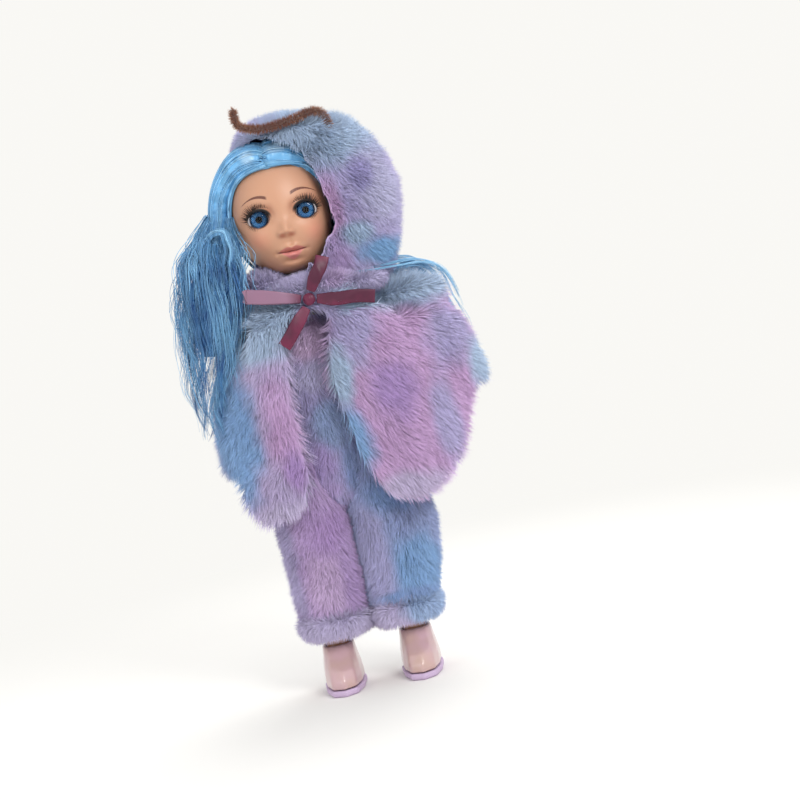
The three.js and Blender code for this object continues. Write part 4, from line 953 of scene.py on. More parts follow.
def pile_tree(per_mm2, lock_mm, gather, stray, width, seed):
    tree = bpy.data.node_groups.new("pile", "GeometryNodeTree")
    tree.interface.new_socket("Geometry", in_out="INPUT", socket_type="NodeSocketGeometry")
    tree.interface.new_socket("Geometry", in_out="OUTPUT", socket_type="NodeSocketGeometry")
    make = tree.nodes.new
    link = tree.links.new
    enter = make("NodeGroupInput")
    leave = make("NodeGroupOutput")

    def named(label, kind):
        node = make("GeometryNodeInputNamedAttribute")
        node.data_type = kind
        node.inputs["Name"].default_value = label
        return pick_socket(node.outputs, "Attribute")

    def vector(kind, *values):
        node = make("ShaderNodeVectorMath")
        node.operation = kind
        for i, value in enumerate(values):
            if isinstance(value, bpy.types.NodeSocket):
                link(value, node.inputs[i])
            elif kind == "SCALE" and i == 1:
                node.inputs["Scale"].default_value = value
            else:
                node.inputs[i].default_value = value
        return node.outputs["Value"] if kind == "LENGTH" else node.outputs["Vector"]

    def by_chance(kind, low, high, number):
        node = make("FunctionNodeRandomValue")
        node.data_type = kind
        pick_socket(node.inputs, "Min").default_value = low
        pick_socket(node.inputs, "Max").default_value = high
        node.inputs["Seed"].default_value = number
        return pick_socket(node.outputs, "Value")

    def times(a, b):
        node = make("ShaderNodeMath")
        node.operation = "MULTIPLY"
        for i, value in enumerate((a, b)):
            if isinstance(value, bpy.types.NodeSocket):
                link(value, node.inputs[i])
            else:
                node.inputs[i].default_value = value
        return node.outputs[0]

    def scatter(density, number):
        node = make("GeometryNodeDistributePointsOnFaces")
        node.distribute_method = "RANDOM"
        link(enter.outputs[0], node.inputs["Mesh"])
        if isinstance(density, bpy.types.NodeSocket):
            link(density, node.inputs["Density"])
        else:
            node.inputs["Density"].default_value = density
        node.inputs["Seed"].default_value = number
        return node.outputs["Points"], node.outputs["Normal"]

    roots, upright = scatter(times(named("pile_mask", "FLOAT"), per_mm2 * 1e6), seed)
    locks, _ = scatter(1e6 / lock_mm ** 2, seed + 1)
    place = make("GeometryNodeInputPosition").outputs[0]
    nearest = make("GeometryNodeSampleNearest")
    link(locks, nearest.inputs["Geometry"])
    link(place, nearest.inputs["Sample Position"])
    sample = make("GeometryNodeSampleIndex")
    sample.data_type = "FLOAT_VECTOR"
    link(locks, sample.inputs["Geometry"])
    link(place, pick_socket(sample.inputs, "Value"))
    link(nearest.outputs["Index"], sample.inputs["Index"])
    toward = vector("SUBTRACT", pick_socket(sample.outputs, "Value"), place)
    comb = named("pile_comb", "FLOAT_VECTOR")
    length = vector("LENGTH", comb)
    loose = by_chance("FLOAT_VECTOR", (-stray, -stray, -stray), (stray, stray, stray), seed + 2)
    loose_node = make("ShaderNodeVectorMath")
    loose_node.operation = "SCALE"
    link(loose, loose_node.inputs[0])
    link(length, loose_node.inputs["Scale"])
    way = vector("ADD", vector("ADD", comb, vector("SCALE", toward, gather)), loose_node.outputs["Vector"])
    align = make("FunctionNodeAlignRotationToVector")
    align.axis = "Z"
    link(way, align.inputs["Vector"])
    size = make("ShaderNodeCombineXYZ")
    broad = by_chance("FLOAT", 0.75 * width * MM, 1.25 * width * MM, seed + 3)
    link(broad, size.inputs["X"])
    link(broad, size.inputs["Y"])
    link(times(length, by_chance("FLOAT", 0.72, 1.18, seed + 4)), size.inputs["Z"])
    info = make("GeometryNodeObjectInfo")
    info.inputs["Object"].default_value = spike
    keep = make("GeometryNodeStoreNamedAttribute")
    keep.data_type = "FLOAT_VECTOR"
    keep.domain = "POINT"
    keep.inputs["Name"].default_value = "pile_normal"
    link(roots, keep.inputs["Geometry"])
    link(upright, pick_socket(keep.inputs, "Value"))
    stand = make("GeometryNodeInstanceOnPoints")
    link(keep.outputs[0], stand.inputs["Points"])
    link(info.outputs["Geometry"], stand.inputs["Instance"])
    link(align.outputs[0], stand.inputs["Rotation"])
    link(size.outputs[0], stand.inputs["Scale"])
    spin = make("GeometryNodeRotateInstances")
    link(stand.outputs[0], spin.inputs["Instances"])
    link(by_chance("FLOAT_VECTOR", (0, 0, 0), (0, 0, 6.283), seed + 5), spin.inputs["Rotation"])
    store = make("GeometryNodeStoreNamedAttribute")
    store.data_type = "FLOAT"
    store.domain = "INSTANCE"
    store.inputs["Name"].default_value = "shade"
    link(spin.outputs[0], store.inputs["Geometry"])
    link(by_chance("FLOAT", 0.0, 1.0, seed + 6), pick_socket(store.inputs, "Value"))
    soft = make("GeometryNodeStoreNamedAttribute")
    soft.data_type = "FLOAT_VECTOR"
    soft.domain = "INSTANCE"
    soft.inputs["Name"].default_value = "pile_normal"
    link(store.outputs[0], soft.inputs["Geometry"])
    link(named("pile_normal", "FLOAT_VECTOR"), pick_socket(soft.inputs, "Value"))
    real = make("GeometryNodeRealizeInstances")
    link(soft.outputs[0], real.inputs[0])
    link(real.outputs[0], leave.inputs[0])
    return tree


def grow_pile(skin, name, comb, mask, per_mm2=3.0, lock_mm=5.0, gather=0.4, stray=0.13, width=0.5, seed=1):
    """Grows pile on a skin. comb gives each point's lean and length in millimetres; mask is from 0 to 1."""
    mesh = skin.data
    vectors = np.zeros((len(mesh.vertices), 3), np.float32)
    shares = np.zeros(len(mesh.vertices), np.float32)
    for i, v in enumerate(mesh.vertices):
        p = in_mm(v.co)
        vectors[i] = comb(p, v.normal) * MM
        shares[i] = mask(p, v.normal)
    layer = mesh.attributes.new("pile_comb", "FLOAT_VECTOR", "POINT")
    layer.data.foreach_set("vector", vectors.reshape(-1))
    layer = mesh.attributes.new("pile_mask", "FLOAT", "POINT")
    layer.data.foreach_set("value", shares)
    grower = skin.modifiers.new("pile", "NODES")
    grower.node_group = pile_tree(per_mm2, lock_mm, gather, stray, width, seed)
    graph = bpy.context.evaluated_depsgraph_get()
    made = bpy.data.meshes.new_from_object(skin.evaluated_get(graph), preserve_all_data_layers=True,
                                           depsgraph=graph)
    skin.modifiers.clear()
    mesh.attributes.remove(mesh.attributes["pile_comb"])
    mesh.attributes.remove(mesh.attributes["pile_mask"])
    for label in ("pile_comb", "pile_mask"):
        if label in made.attributes:
            made.attributes.remove(made.attributes[label])
    made.name = name
    made.materials.clear()
    made.shade_flat()
    tile_uv(made, SPIKE_LOOPS, spike_pattern)
    pile = bpy.data.objects.new(name, made)
    scene.collection.objects.link(pile)
    print(name, len(made.loops) // SPIKE_LOOPS, "spikes", count(pile), "triangles")
    return pile


# %% [markdown]
# ## Dressing the doll
# Each garment part gets its backing and its pile. The brushed direction is mostly downwards and away from the
# skin. A slow noise turns it a little from place to place, as worn fur has, and the pile is shorter at the cuffs.

# %% Brushed directions
DOWN = Vector((0, 0, -1))


def brushed(length, stand, fall, swirl=0.5, extra=None, longer=None):
    """Pile of a length that stands off the backing and falls along it. On top it stands up more."""
    def comb(p, normal):
        turned = noise.noise_vector(p * 0.045) * swirl + noise.noise_vector(p * 0.13 + Vector((7, 3, 5))) * swirl * 0.4
        lie = DOWN * fall + turned
        if extra:
            lie = lie + extra(p)
        lie = lie - normal * lie.dot(normal)
        reach = length * (1 + 0.16 * noise.noise(p * 0.12)) * (longer(p, normal) if longer else 1.0)
        return (normal * (stand + 0.4 * max(0.0, normal.z)) + lie).normalized() * reach
    return comb


def everywhere(p, normal):
    return 1.0


GARMENTS = {}


def wear(name, skin, piles, body):
    """Keeps a garment's backing and piles together, and lets them ride."""
    for piece in (skin, *piles):
        if body:
            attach(piece, body)
    GARMENTS[name] = (skin, *piles)


def dress(name, nodes, body, comb, mask, voxel=1.8, inset=2.4, slot="fur_lilac", seed=1, rounds=8, change=None,
          swell=0.0, blobs=(), **look):
    """Replaces CAD nodes with a backing and the pile that grows on it. mask may hold one mask for each pile."""
    skin = soft_skin(nodes, f"{name}_backing", voxel, rounds, inset, change, swell, blobs)
    masks = mask if isinstance(mask, dict) else {"": mask}
    piles = [grow_pile(skin, f"{name}_pile{tag}", comb, part, seed=seed + i, **look)
             for i, (tag, part) in enumerate(masks.items())]
    if nodes:
        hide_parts(*nodes)
    wear(name, skin, piles, body)


# %% Hood
HOOD_MIDDLE = Vector((14, 10, 302))


def hood_shape(p):
    """Opens the hood's rim over the parting and beside the cheek, lowers its top and its hem on the left, and
    lays its right side close to the hair."""
    front = ramp(-p.y, 0, 24)
    away = Vector((p.x - 2, 0, p.z - 300))
    part = max(ramp(p.z, 322, 334), 1 - ramp(p.z, 284, 300)) * ramp(p.x, 2, 14)
    out = 5.5 * part * front * ramp(p.z, 258, 282) / max(1.0, away.length)
    deep = ramp(p.x, 4, 24) * (1 - ramp(p.z, 322, 345))
    side = ramp(-p.x, 6, 40)
    x = p.x + out * away.x + 13.5 * side
    y = p.y + 0.42 * deep * max(0.0, -4 - p.y) + (4 * side if p.y < 10 else 0)
    hem = 4 * ramp(p.x, 12, 40) * (1 - ramp(p.z, 250, 275))
    z = p.z + 0.9 * out * away.z - 8 * ramp(p.z, 336, 362) - hem
    return Vector((x, y, z))


def hood_out(p, normal):
    """The outer side of the hood and its rim."""
    away = p - HOOD_MIDDLE
    return 1.0 if normal.dot(away.normalized()) > 0.05 or (normal.y < -0.45 and p.y < 0) else 0.0


def hood_sweep(p):
    return Vector(((p.x - HOOD_MIDDLE.x) * 0.012, (p.y - HOOD_MIDDLE.y) * 0.012, 0))


def hood_length(p, normal):
    """The pile is shorter on the right side, on top and where it would hang over the face."""
    to_face = max(0.0, -normal.dot(Vector((p.x - 2, 0, p.z - 300)).normalized())) if p.y < -4 else 0.0
    return (1 - 0.55 * ramp(-p.x, 0, 26)) * (1 - 0.3 * ramp(p.z, 340, 354)) * (1 - 0.6 * ramp(to_face, 0, 0.6))


hood_comb = brushed(9.0, 0.8, 0.5, 0.5, hood_sweep, hood_length)
hood_halves = {"_left": lambda p, normal: hood_out(p, normal) if p.x > 16 else 0.0,
               "_right": lambda p, normal: hood_out(p, normal) if p.x <= 16 else 0.0}
dress("hood", ["hood_left", "hood_right"], "head", hood_comb, hood_halves, 2.1, slot="fur_pale", seed=21, rounds=10,
      per_mm2=2.5, width=0.6, lock_mm=3.6, gather=0.4, stray=0.24,
      change={"hood_left": hood_shape, "hood_right": hood_shape})

# %% Collar
COLLAR = [((0, -9, 246), (32, 23, 7)), ((12, -15, 247.5), (23, 17, 7.5)), ((-21, -6, 252.5), (15, 15, 10)),
          ((36, -4, 244.5), (18, 18, 6))]
dress("collar", [], "torso", brushed(4.6, 0.85, 0.45, 0.6), lambda p, normal: 1.0 if normal.y < 0.3 else 0.0,
      inset=0.0, seed=27, rounds=12, per_mm2=3.2, width=0.55, lock_mm=3.2, gather=0.4, stray=0.25, blobs=COLLAR)

# %% [markdown]
# The cape is one cloth on the real doll, so it is fused into one soft skin. Then it is cut where its parts must
# move apart: the lobes over the arms, the two front panels, the front of the yoke and the back. The pile is
# sown on the whole skin, each part with its own share of it, so that no line shows where the parts meet.


# %% Cape
def cape_sweep(p):
    """The pile falls outwards on both sides of the front opening, more on the left side."""
    return Vector((0.75 if p.x > 5 else -0.25, 0, 0))


def left_panel(p):
    """The left front panel covers more of the waist, and reaches out to the lobe over the arm."""
    out = ramp(p.x, 36, 60) * bell(p.z, 184, 17)
    lap = (10 * (1 - ramp(p.z, 205, 235)) + 5 * (1 - ramp(p.z, 120, 170))) * (1 - ramp(p.x, 20, 56))
    return Vector((p.x + 20 * out - lap, p.y + 4 * out * (1 if p.y < 0 else 0), p.z))


def right_panel(p):
    """The right front panel leaves more of the waist free."""
    return Vector((p.x - 7 * ramp(p.x, -52, -22) * bell(p.z, 172, 42), p.y, p.z))


def left_lobe(p):
    return Vector((p.x - 5 * ramp(p.x, 78, 104), p.y, p.z))


CAPE = ["cape_yoke", "cape_front_left", "cape_front_right", "cape_back", "cape_wing_left", "cape_wing_right"]
MOVES = {"cape_front_left": left_panel, "cape_front_right": right_panel, "cape_wing_left": left_lobe}
SHOULDER = [((64, 0, 230.5), (24, 13, 10)), ((62, -20, 212), (11, 9, 11)), ((72, -18, 200), (11, 9, 11)),
            ((82, -14, 188), (11, 9, 11))]
cape = soft_skin(CAPE, "cape_whole", 1.8, 44, 2.2, MOVES, 3.2, SHOULDER)
LEFT_SEAM = (Vector((36, 0, 240)), Vector((0.839, 0, 0.545)))
RIGHT_SEAM = (Vector((-34, 0, 240)), Vector((-0.994, 0, 0.112)))
TOP_SEAM = (Vector((0, 0, 230)), Vector((0, 0, 1)))
REAR_SEAM = (Vector((0, -2, 0)), Vector((0, 1, 0)))
MIDDLE_SEAM = (Vector((0, 0, 0)), Vector((1, 0, 0)))
TRUNK = [(LEFT_SEAM, -1), (RIGHT_SEAM, -1)]
CAPE_PARTS = {
    "cape_wing_left": [(LEFT_SEAM, 1)],
    "cape_wing_right": [(LEFT_SEAM, -1), (RIGHT_SEAM, 1)],
    "cape_back": [*TRUNK, (REAR_SEAM, 1)],
    "cape_yoke": [*TRUNK, (REAR_SEAM, -1), (TOP_SEAM, 1)],
    "cape_front_left": [*TRUNK, (REAR_SEAM, -1), (TOP_SEAM, -1), (MIDDLE_SEAM, 1)],
    "cape_front_right": [*TRUNK, (REAR_SEAM, -1), (TOP_SEAM, -1), (MIDDLE_SEAM, -1)]}


def cut_part(whole, name, cuts):
    """A closed part of a skin, cut off by planes."""
    bm = bmesh.new()
    bm.from_mesh(whole.data)
    for (place, way), sign in cuts:
        bmesh.ops.bisect_plane(bm, geom=[*bm.verts, *bm.edges, *bm.faces], plane_co=spot(*place),
                               plane_no=way * sign, clear_inner=True)
        bmesh.ops.holes_fill(bm, edges=[e for e in bm.edges if e.is_boundary], sides=0)
    bmesh.ops.triangulate(bm, faces=[f for f in bm.faces if len(f.verts) > 4])
    return piece_from(bm, name)


def within(p, cuts):
    return all((p - place).dot(way) * sign >= 0 for (place, way), sign in cuts)


def cape_out(p, normal, part):
    """The outer side of the cape and its edges."""
    if "front" in part or "yoke" in part:
        return normal.y < 0.35 or normal.z > 0.6
    if "back" in part:
        return normal.y > -0.35 or normal.z > 0.6
    sign = 1 if "left" in part else -1
    return normal.x * sign > -0.4 or normal.z > 0.2 or normal.y < -0.4


def cape_mask(part, cuts):
    def mask(p, normal):
        if not (within(p, cuts) and cape_out(p, normal, part)):
            return 0.0
        return 0.5 if normal.y > 0.5 else 1.0
    return mask


cape_comb = brushed(10.5, 0.72, 0.85, 0.45, cape_sweep)
for i, (part, cuts) in enumerate(CAPE_PARTS.items()):
    pile = grow_pile(cape, f"{part}_pile", cape_comb, cape_mask(part, cuts), per_mm2=2.9, width=0.62, lock_mm=4.0,
                     gather=0.45, stray=0.24, seed=41 + 10 * i)
    skin = cut_part(cape, f"{part}_backing", cuts)
    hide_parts(part)
    wear(part, skin, [pile], None if "wing" in part else "torso")
bpy.data.objects.remove(cape)

# %% Romper
romper_comb = brushed(7.0, 0.75, 0.8, 0.65)
BELLY = [((0, -4, 147), (26, 18, 36)), ((0, -6, 170), (24, 16, 20))]
dress("romper_body", ["romper_front", "romper_back_left", "romper_back_right", "romper_gusset"], "torso", romper_comb,
      lambda p, normal: 1.0 if normal.y < 0.2 else 0.15, seed=101, rounds=30, swell=2.0, blobs=BELLY, per_mm2=2.0,
      width=0.62, lock_mm=3.6, gather=0.45, stray=0.24)


def leg_out(sign):
    def mask(p, normal):
        away = Vector((p.x - sign * 24.5, p.y, 0))
        if away.length < 1e-6 or normal.dot(away.normalized()) < -0.2:
            return 0.0
        return 0.4 if normal.y > 0.5 else 1.0
    return mask


cuff_comb = brushed(6.4, 0.75, 0.9, 0.4)
for word, sign, seed in (("left", 1, 111), ("right", -1, 121)):
    def closer(p, sign=sign):
        """The legs stand close together, so that their pile meets."""
        return Vector((p.x - sign * 2.6, p.y, p.z))

    leg, cuff = f"romper_leg_{word}", f"cuff_{word}"
    dress(leg, [leg], f"leg_{word}", romper_comb, leg_out(sign), seed=seed, per_mm2=2.7, width=0.62, lock_mm=3.6,
          gather=0.45, stray=0.25, change={leg: closer}, rounds=12)
    dress(cuff, [cuff], f"leg_{word}", cuff_comb, leg_out(sign), seed=seed + 5, per_mm2=3.6, inset=1.4,
          slot="fur_pale", width=0.6, lock_mm=2.6, gather=0.2, stray=0.28, change={cuff: closer}, rounds=10)

# %% [markdown]
# ## The lobes and the front panels
# On the real doll the lobes over the arms lift with the arms and bend between the trunk and the arm, and the front
# panels are pushed up when a leg swings forward. Here the lobes ride on no body and their shapes are baked into the
# frame; the front panels each get a mesh of their own.

# %% Moving cloth
for word, sign in (("left", 1), ("right", -1)):
    for piece in GARMENTS[f"cape_wing_{word}"]:
        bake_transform(piece)
    for piece in GARMENTS[f"cape_front_{word}"]:
        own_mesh(piece)

# %% [markdown]
# ## Ribbon
# A narrow satin ribbon is tied in a loose bow. Each run is a flat grid bent along its route, with a real thickness.

# %% Ribbon runs
KNOT = Vector((6.4, -37.16, 241))


def smooth_route(places, samples):
    rows = [list(p) for p in places]
    return [Vector(along_rows(rows, i / (samples - 1))) for i in range(samples)]


def ribbon(name, node, places, width, twist=lambda t: 0.0, samples=48, body="torso", taper=None):
    route = smooth_route(places, samples)
    bm = bmesh.new()
    bmesh.ops.create_grid(bm, x_segments=samples - 1, y_segments=8, size=1)
    for v in bm.verts:
        t = (v.co.x + 1) / 2
        s = v.co.y
        i = min(samples - 1, max(0, round(t * (samples - 1))))
        here = route[i]
        ahead = (route[min(samples - 1, i + 1)] - route[max(0, i - 1)]).normalized()
        face = Vector((0, -1, 0))
        across = ahead.cross(face).normalized()
        across = Matrix.Rotation(twist(t), 3, ahead) @ across
        cup = ahead.cross(across)
        half = width / 2 * (taper(t) if taper else 1.0)
        crumple = 0.5 * math.sin(9 * t + 2.1 * s) * (1 - abs(2 * t - 1)) + 0.35 * s * s
        v.co = spot(*(KNOT + here + across * half * s + cup * crumple))
    piece = piece_from(bm, name)
    body_wall = piece.modifiers.new("thickness", "SOLIDIFY")
    body_wall.thickness = 0.35 * MM
    body_wall.offset = 0
    settle(piece)
    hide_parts(node)
    return piece


def pinched(t):
    return 0.62 + 0.38 * min(1.0, t * 4)


def pinched_both(t):
    return 0.55 + 0.45 * min(1.0, t * 4, (1 - t) * 4)


LOOP = [(-4.6, 0, 1.2), (-18, -3, 5), (-34, -1.4, 8.8), (-35.6, .6, 9.2), (-34, 2.6, 8.8), (-18, 1.8, 4.4),
        (-5, 2.4, 1)]
SIDE = [(4.6, -.4, -.6), (16, -3, -3), (28, -3.4, -4), (38.8, -3.6, -6.5)]
UP = [(2, -1, 4.6), (7, -3, 13), (11, -2, 18), (13.4, 0, 23.4)]
LOWER = [(-2.4, -1.4, -4.6), (-10, -4, -13), (-16, -3.8, -20), (-20.4, -3.4, -24.4)]
ribbons = [ribbon("bow_loop", "ribbon_loop", LOOP, 8.6, taper=pinched_both, samples=72),
           ribbon("bow_end_side", "ribbon_tail_side", SIDE, 8, taper=pinched),
           ribbon("bow_end_up", "ribbon_tail_up", UP, 8, taper=pinched),
           ribbon("bow_end_down", "ribbon_tail_down", LOWER, 8, taper=pinched)]
for piece in ribbons:
    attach(piece, "torso")

# %% Knot
knot_mesh = bmesh.new()
bmesh.ops.create_uvsphere(knot_mesh, u_segments=48, v_segments=32, radius=1)
for v in knot_mesh.verts:
    fold = 0.06 * math.sin(9 * v.co.x + 2 * v.co.z) * (1 - v.co.z ** 2)
    v.co = spot(*(KNOT + Vector((v.co.x * 4.0, v.co.y * 3.0, v.co.z * 4.0)) * (0.94 + fold)))
knot = piece_from(knot_mesh, "bow_knot")
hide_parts("ribbon_knot")
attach(knot, "torso")

# %% [markdown]
# ## Antenna
# A brown pipe cleaner is bent by hand: two twisted wires with short bristles all round.

# %% Pipe cleaner
CROWN = HEAD_Z + 49
ANTENNA = [(-14.3, -19, CROWN + 15), (-12.7, -24, CROWN + 5), (-2.6, -27.4, CROWN + 0.5), (4.8, -27.8, CROWN),
           (20, -27, CROWN + 1.6), (31.6, -22, CROWN + 4.4), (38, -19.5, CROWN + 1.8), (40.4, -18.5, CROWN - 6)]
wire_curve = bpy.data.curves.new("wire", "CURVE")
wire_curve.dimensions = "3D"
wire_curve.bevel_depth = 1.0 * MM
wire_curve.bevel_resolution = 3
wire_curve.use_fill_caps = True
spline = wire_curve.splines.new("POLY")
wire_route = [spot(*p) for p in smooth_route(ANTENNA, 90)]
spline.points.add(89)
spline.points.foreach_set("co", [c for p in wire_route for c in (*p, 1.0)])
wire_holder = bpy.data.objects.new("antenna_wire", wire_curve)
scene.collection.objects.link(wire_holder)
graph = bpy.context.evaluated_depsgraph_get()
wire_data = bpy.data.meshes.new_from_object(wire_holder.evaluated_get(graph), depsgraph=graph)
bpy.data.objects.remove(wire_holder)
wire = bpy.data.objects.new("antenna_wire", wire_data)
scene.collection.objects.link(wire)
bristles = grow_pile(wire, "antenna_bristles", lambda p, normal: normal * 3.0, everywhere, per_mm2=7.0, lock_mm=3,
                     gather=0.1, stray=0.5, width=0.4, seed=201)
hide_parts("antenna_stem", "antenna_tie")
for piece in (wire, bristles):
    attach(piece, "head")

# %% [markdown]
# ## Limbs and shoes
# The limbs are hollow vinyl castings with soft forms, so they are rounded copies of the solids. The shoes are
# moulded with a pearly skin.

# %% Limbs and shoes
limbs = []
for word in ("left", "right"):
    for node, body, slot, voxel, rounds in (
            (f"arm_{word}", f"arm_{word}", "vinyl", 1.0, 3), (f"leg_{word}", f"leg_{word}", "vinyl", 1.1, 3),
            (f"shoe_{word}", f"leg_{word}", "pearl", 0.9, 18), (f"shoe_sole_{word}", f"leg_{word}", "sole", 1.0, 4)):
        piece = soft_skin([node], f"{node}_round", voxel, rounds)
        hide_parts(node)
        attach(piece, body)
        limbs.append(piece)

# %% [markdown]
# ## Cloth that was cut flat
# The garments are sewn from flat fur cloth, and the bow is a flat ribbon. The table lists each garment's flat size,
# its area, how it is held and what it lies on, and the ribbons' lengths follow it. The body of the romper and the
# gathered collar are full and round, and are not listed.

# %% Flat sizes
SHEETS = {
    "hood": ((0.16, 0.2), 0.0235, "stretched", ["hair_cap"]),
    "cape_back": ((0.125, 0.135), None, "draped", ["torso_back_shell"]),
    "cape_yoke": ((0.07, 0.036), None, "draped", ["torso_front_shell"]),
    "cape_front_left": ((0.065, 0.125), None, "hung", ["cape_yoke"]),
    "cape_front_right": ((0.034, 0.12), None, "hung", ["cape_yoke"]),
    "cape_wing_left": ((0.08, 0.1), None, "draped", ["arm_left"]),
    "cape_wing_right": ((0.08, 0.1), None, "draped", ["arm_right"]),
    "romper_leg_left": ((0.13, 0.095), None, "stretched", ["leg_left"]),
    "romper_leg_right": ((0.13, 0.095), None, "stretched", ["leg_right"]),
    "cuff_left": ((0.14, 0.012), None, "folded", ["romper_leg_left"]),
    "cuff_right": ((0.14, 0.012), None, "folded", ["romper_leg_right"])}
for garment, (flat, area, held, rests_on) in SHEETS.items():
    skin, *piles = GARMENTS[garment]
    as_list(rests_on)
    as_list(piles)
RIBBON_LENGTHS = (0.072, 0.036, 0.025, 0.028)
for piece, length in zip(ribbons, RIBBON_LENGTHS):
    0.0081 * length
print("sheets", len(SHEETS) + len(ribbons))

# %% [markdown]
# ## Finishes
# First the shared effects, as node groups, then one material for each finish.


# %% Dyed patches and patches of painted light
dye_and_painted_light, enter, leave = group(
    "dyed patch",
    [("Place", "NodeSocketVector", None), ("Centre", "NodeSocketVector", None), ("Size", "NodeSocketVector", None),
     ("Soft", "NodeSocketFloat", 0.5), ("Wander", "NodeSocketFloat", 0.5)],
    [("Mask", "NodeSocketFloat")])


def vector_math(tree, kind, a, b=None):
    node = tree.nodes.new("ShaderNodeVectorMath")
    node.operation = kind
    plug(tree, a, node.inputs[0])
    if b is not None:
        plug(tree, b, node.inputs["Scale" if kind == "SCALE" else 1])
    return Flow(tree, node.outputs["Value" if kind == "LENGTH" else "Vector"])


off = vector_math(dye_and_painted_light, "SUBTRACT", enter.outputs["Place"], enter.outputs["Centre"])
share = vector_math(dye_and_painted_light, "LENGTH", vector_math(dye_and_painted_light, "DIVIDE", off, enter.outputs["Size"]))
blot = grain(dye_and_painted_light, enter.outputs["Place"], 55.0, 3.0) - 0.5
share = share + blot * 2.0 * Flow(dye_and_painted_light, enter.outputs["Wander"])
soft = Flow(dye_and_painted_light, enter.outputs["Soft"])
mask = share.between(soft * -0.5 + 1.0, soft * 0.5 + 1.0, 1.0, 0.0)
plug(dye_and_painted_light, mask, leave.inputs["Mask"])


# %% Fur materials
def fibre(text, bounce=0.22, keep=0.85):
    """The colour of one fibre. Light that bounces between fibres darkens and deepens a colour, so each fibre is
    paler and weaker than the pile looks."""
    seen_as = srgb(text)
    peak = max(seen_as[:3])
    return (*[peak / (bounce + (1 - bounce) * peak) * (c / peak) ** keep for c in seen_as[:3]], 1.0)


def fur(name, ground, patches, root=0.82):
    """ground is a colour; patches are (colour, centre, size, softness) in millimetres from the doll's axis."""
    material, tree, shader = new_material(name, Roughness=0.8, Sheen_Weight=0.5, Sheen_Roughness=0.5,
                                          Sheen_Tint=(0.8, 0.86, 1.0, 1.0), Specular_IOR_Level=0.2)
    place = object_place(tree)
    colour = fibre(ground)
    for tint, centre, size, softness in patches:
        node = use(tree, dye_and_painted_light, Place=place, Centre=spot(*centre), Size=Vector(size) * MM, Soft=softness, Wander=0.55)
        colour = mix(tree, Flow(tree, node.outputs["Mask"]), colour, fibre(tint))
    along = attribute(tree, "along")
    shade = attribute(tree, "shade")
    tuft = grain(tree, vector_math(tree, "MULTIPLY", place, (330.0, 330.0, 110.0)), 1.0, 2.0, 0.6)
    # Painted shade: each spike is darker at its root, by the share root, and a little lighter at its tip, as shade
    # deep
    # in the pile. The random tone of each spike and the grain of the tufts are the fur's own.
    root_shade_and_tone = along.between(0.0, 0.95, root, 1.04) * shade.between(0.0, 1.0, 0.92, 1.06)
    root_shade_and_tone = root_shade_and_tone * tuft.between(0.34, 0.6, 0.9, 1.04)
    tone = tree.nodes.new("ShaderNodeCombineColor")
    for name_of in ("Red", "Green", "Blue"):
        plug(tree, root_shade_and_tone, tone.inputs[name_of])
    colour = mix(tree, 1.0, colour, Flow(tree, tone.outputs[0]), "MULTIPLY")
    plug(tree, colour, shader.inputs["Base Color"])
    plug(tree, soft_normal(tree, 0.6), shader.inputs["Normal"])
    return material


def soft_normal(tree, share):
    """Turns each spike's shading towards the backing it stands on, as a dense pile shades."""
    turned = tree.nodes.new("ShaderNodeVectorTransform")
    turned.vector_type = "VECTOR"
    turned.convert_from = "OBJECT"
    turned.convert_to = "WORLD"
    tree.links.new(attribute(tree, "pile_normal", "Vector").socket, turned.inputs[0])
    own = tree.nodes.new("ShaderNodeNewGeometry").outputs["Normal"]
    both = vector_math(tree, "ADD", vector_math(tree, "SCALE", own, 1 - share),
                       vector_math(tree, "SCALE", turned.outputs[0], share))
    return vector_math(tree, "NORMALIZE", both)


PALE, BLUE, LILAC, PINK, MAUVE, SHADE_BLUE = "BAD2F2", "86AEE0", "B8AEDC", "C29CCB", "A082B8", "7C97C8"
hood_fur = fur("hood fur", LILAC, [
    (PALE, (38, -10, 342), (52, 60, 24), 0.8), ("C3C0E4", (62, -20, 297), (15, 40, 24), 0.9),
    ("968FC0", (52, -30, 307), (7, 40, 10), 1.1), (PINK, (31, -30, 292), (8, 40, 17), 1.0),
    (PALE, (44, -30, 273), (10, 40, 7), 1.0), ("74A0CE", (57, -18, 260), (14, 40, 9), 0.9),
    ("AC93C4", (28, -30, 258), (8, 40, 14), 1.0)])
left_fur = fur("left cape fur", PINK, [
    (PALE, (64, 0, 238), (44, 60, 17), 0.8), (LILAC, (28, -33, 217), (14, 60, 20), 0.9),
    (LILAC, (84, -10, 200), (14, 60, 18), 0.9), (MAUVE, (45, -33, 178), (12, 60, 17), 1.3),
    (PALE, (100, 0, 180), (9, 60, 16), 0.9), (PALE, (15, -33, 192), (8, 60, 20), 0.8),
    (BLUE, (12, -33, 150), (13, 60, 25), 0.8), ("CDBDE2", (42, -33, 118), (24, 60, 10), 0.9),
    (LILAC, (72, -33, 150), (9, 60, 24), 1.0), (BLUE, (40, 40, 180), (30, 22, 30), 0.9)])
right_fur = fur("right cape fur", "B4A4CC", [
    (PALE, (-34, -20, 228), (34, 60, 19), 0.7), (BLUE, (-56, -30, 176), (15, 60, 46), 0.8),
    (PINK, (-25, -33, 168), (11, 60, 30), 1.0), (MAUVE, (-24, -33, 142), (7, 60, 12), 1.2),
    ("C6B8DC", (-38, -30, 116), (20, 60, 9), 0.9)])
yoke_fur = fur("yoke fur", PALE, [(PALE, (-30, -20, 236), (24, 40, 20), 0.8), (LILAC, (10, -33, 232), (14, 40, 14), 1.0)])
collar_fur = fur("collar fur", "A9A0C6", [("B79FCA", (24, -20, 254), (9, 30, 12), 0.9)])
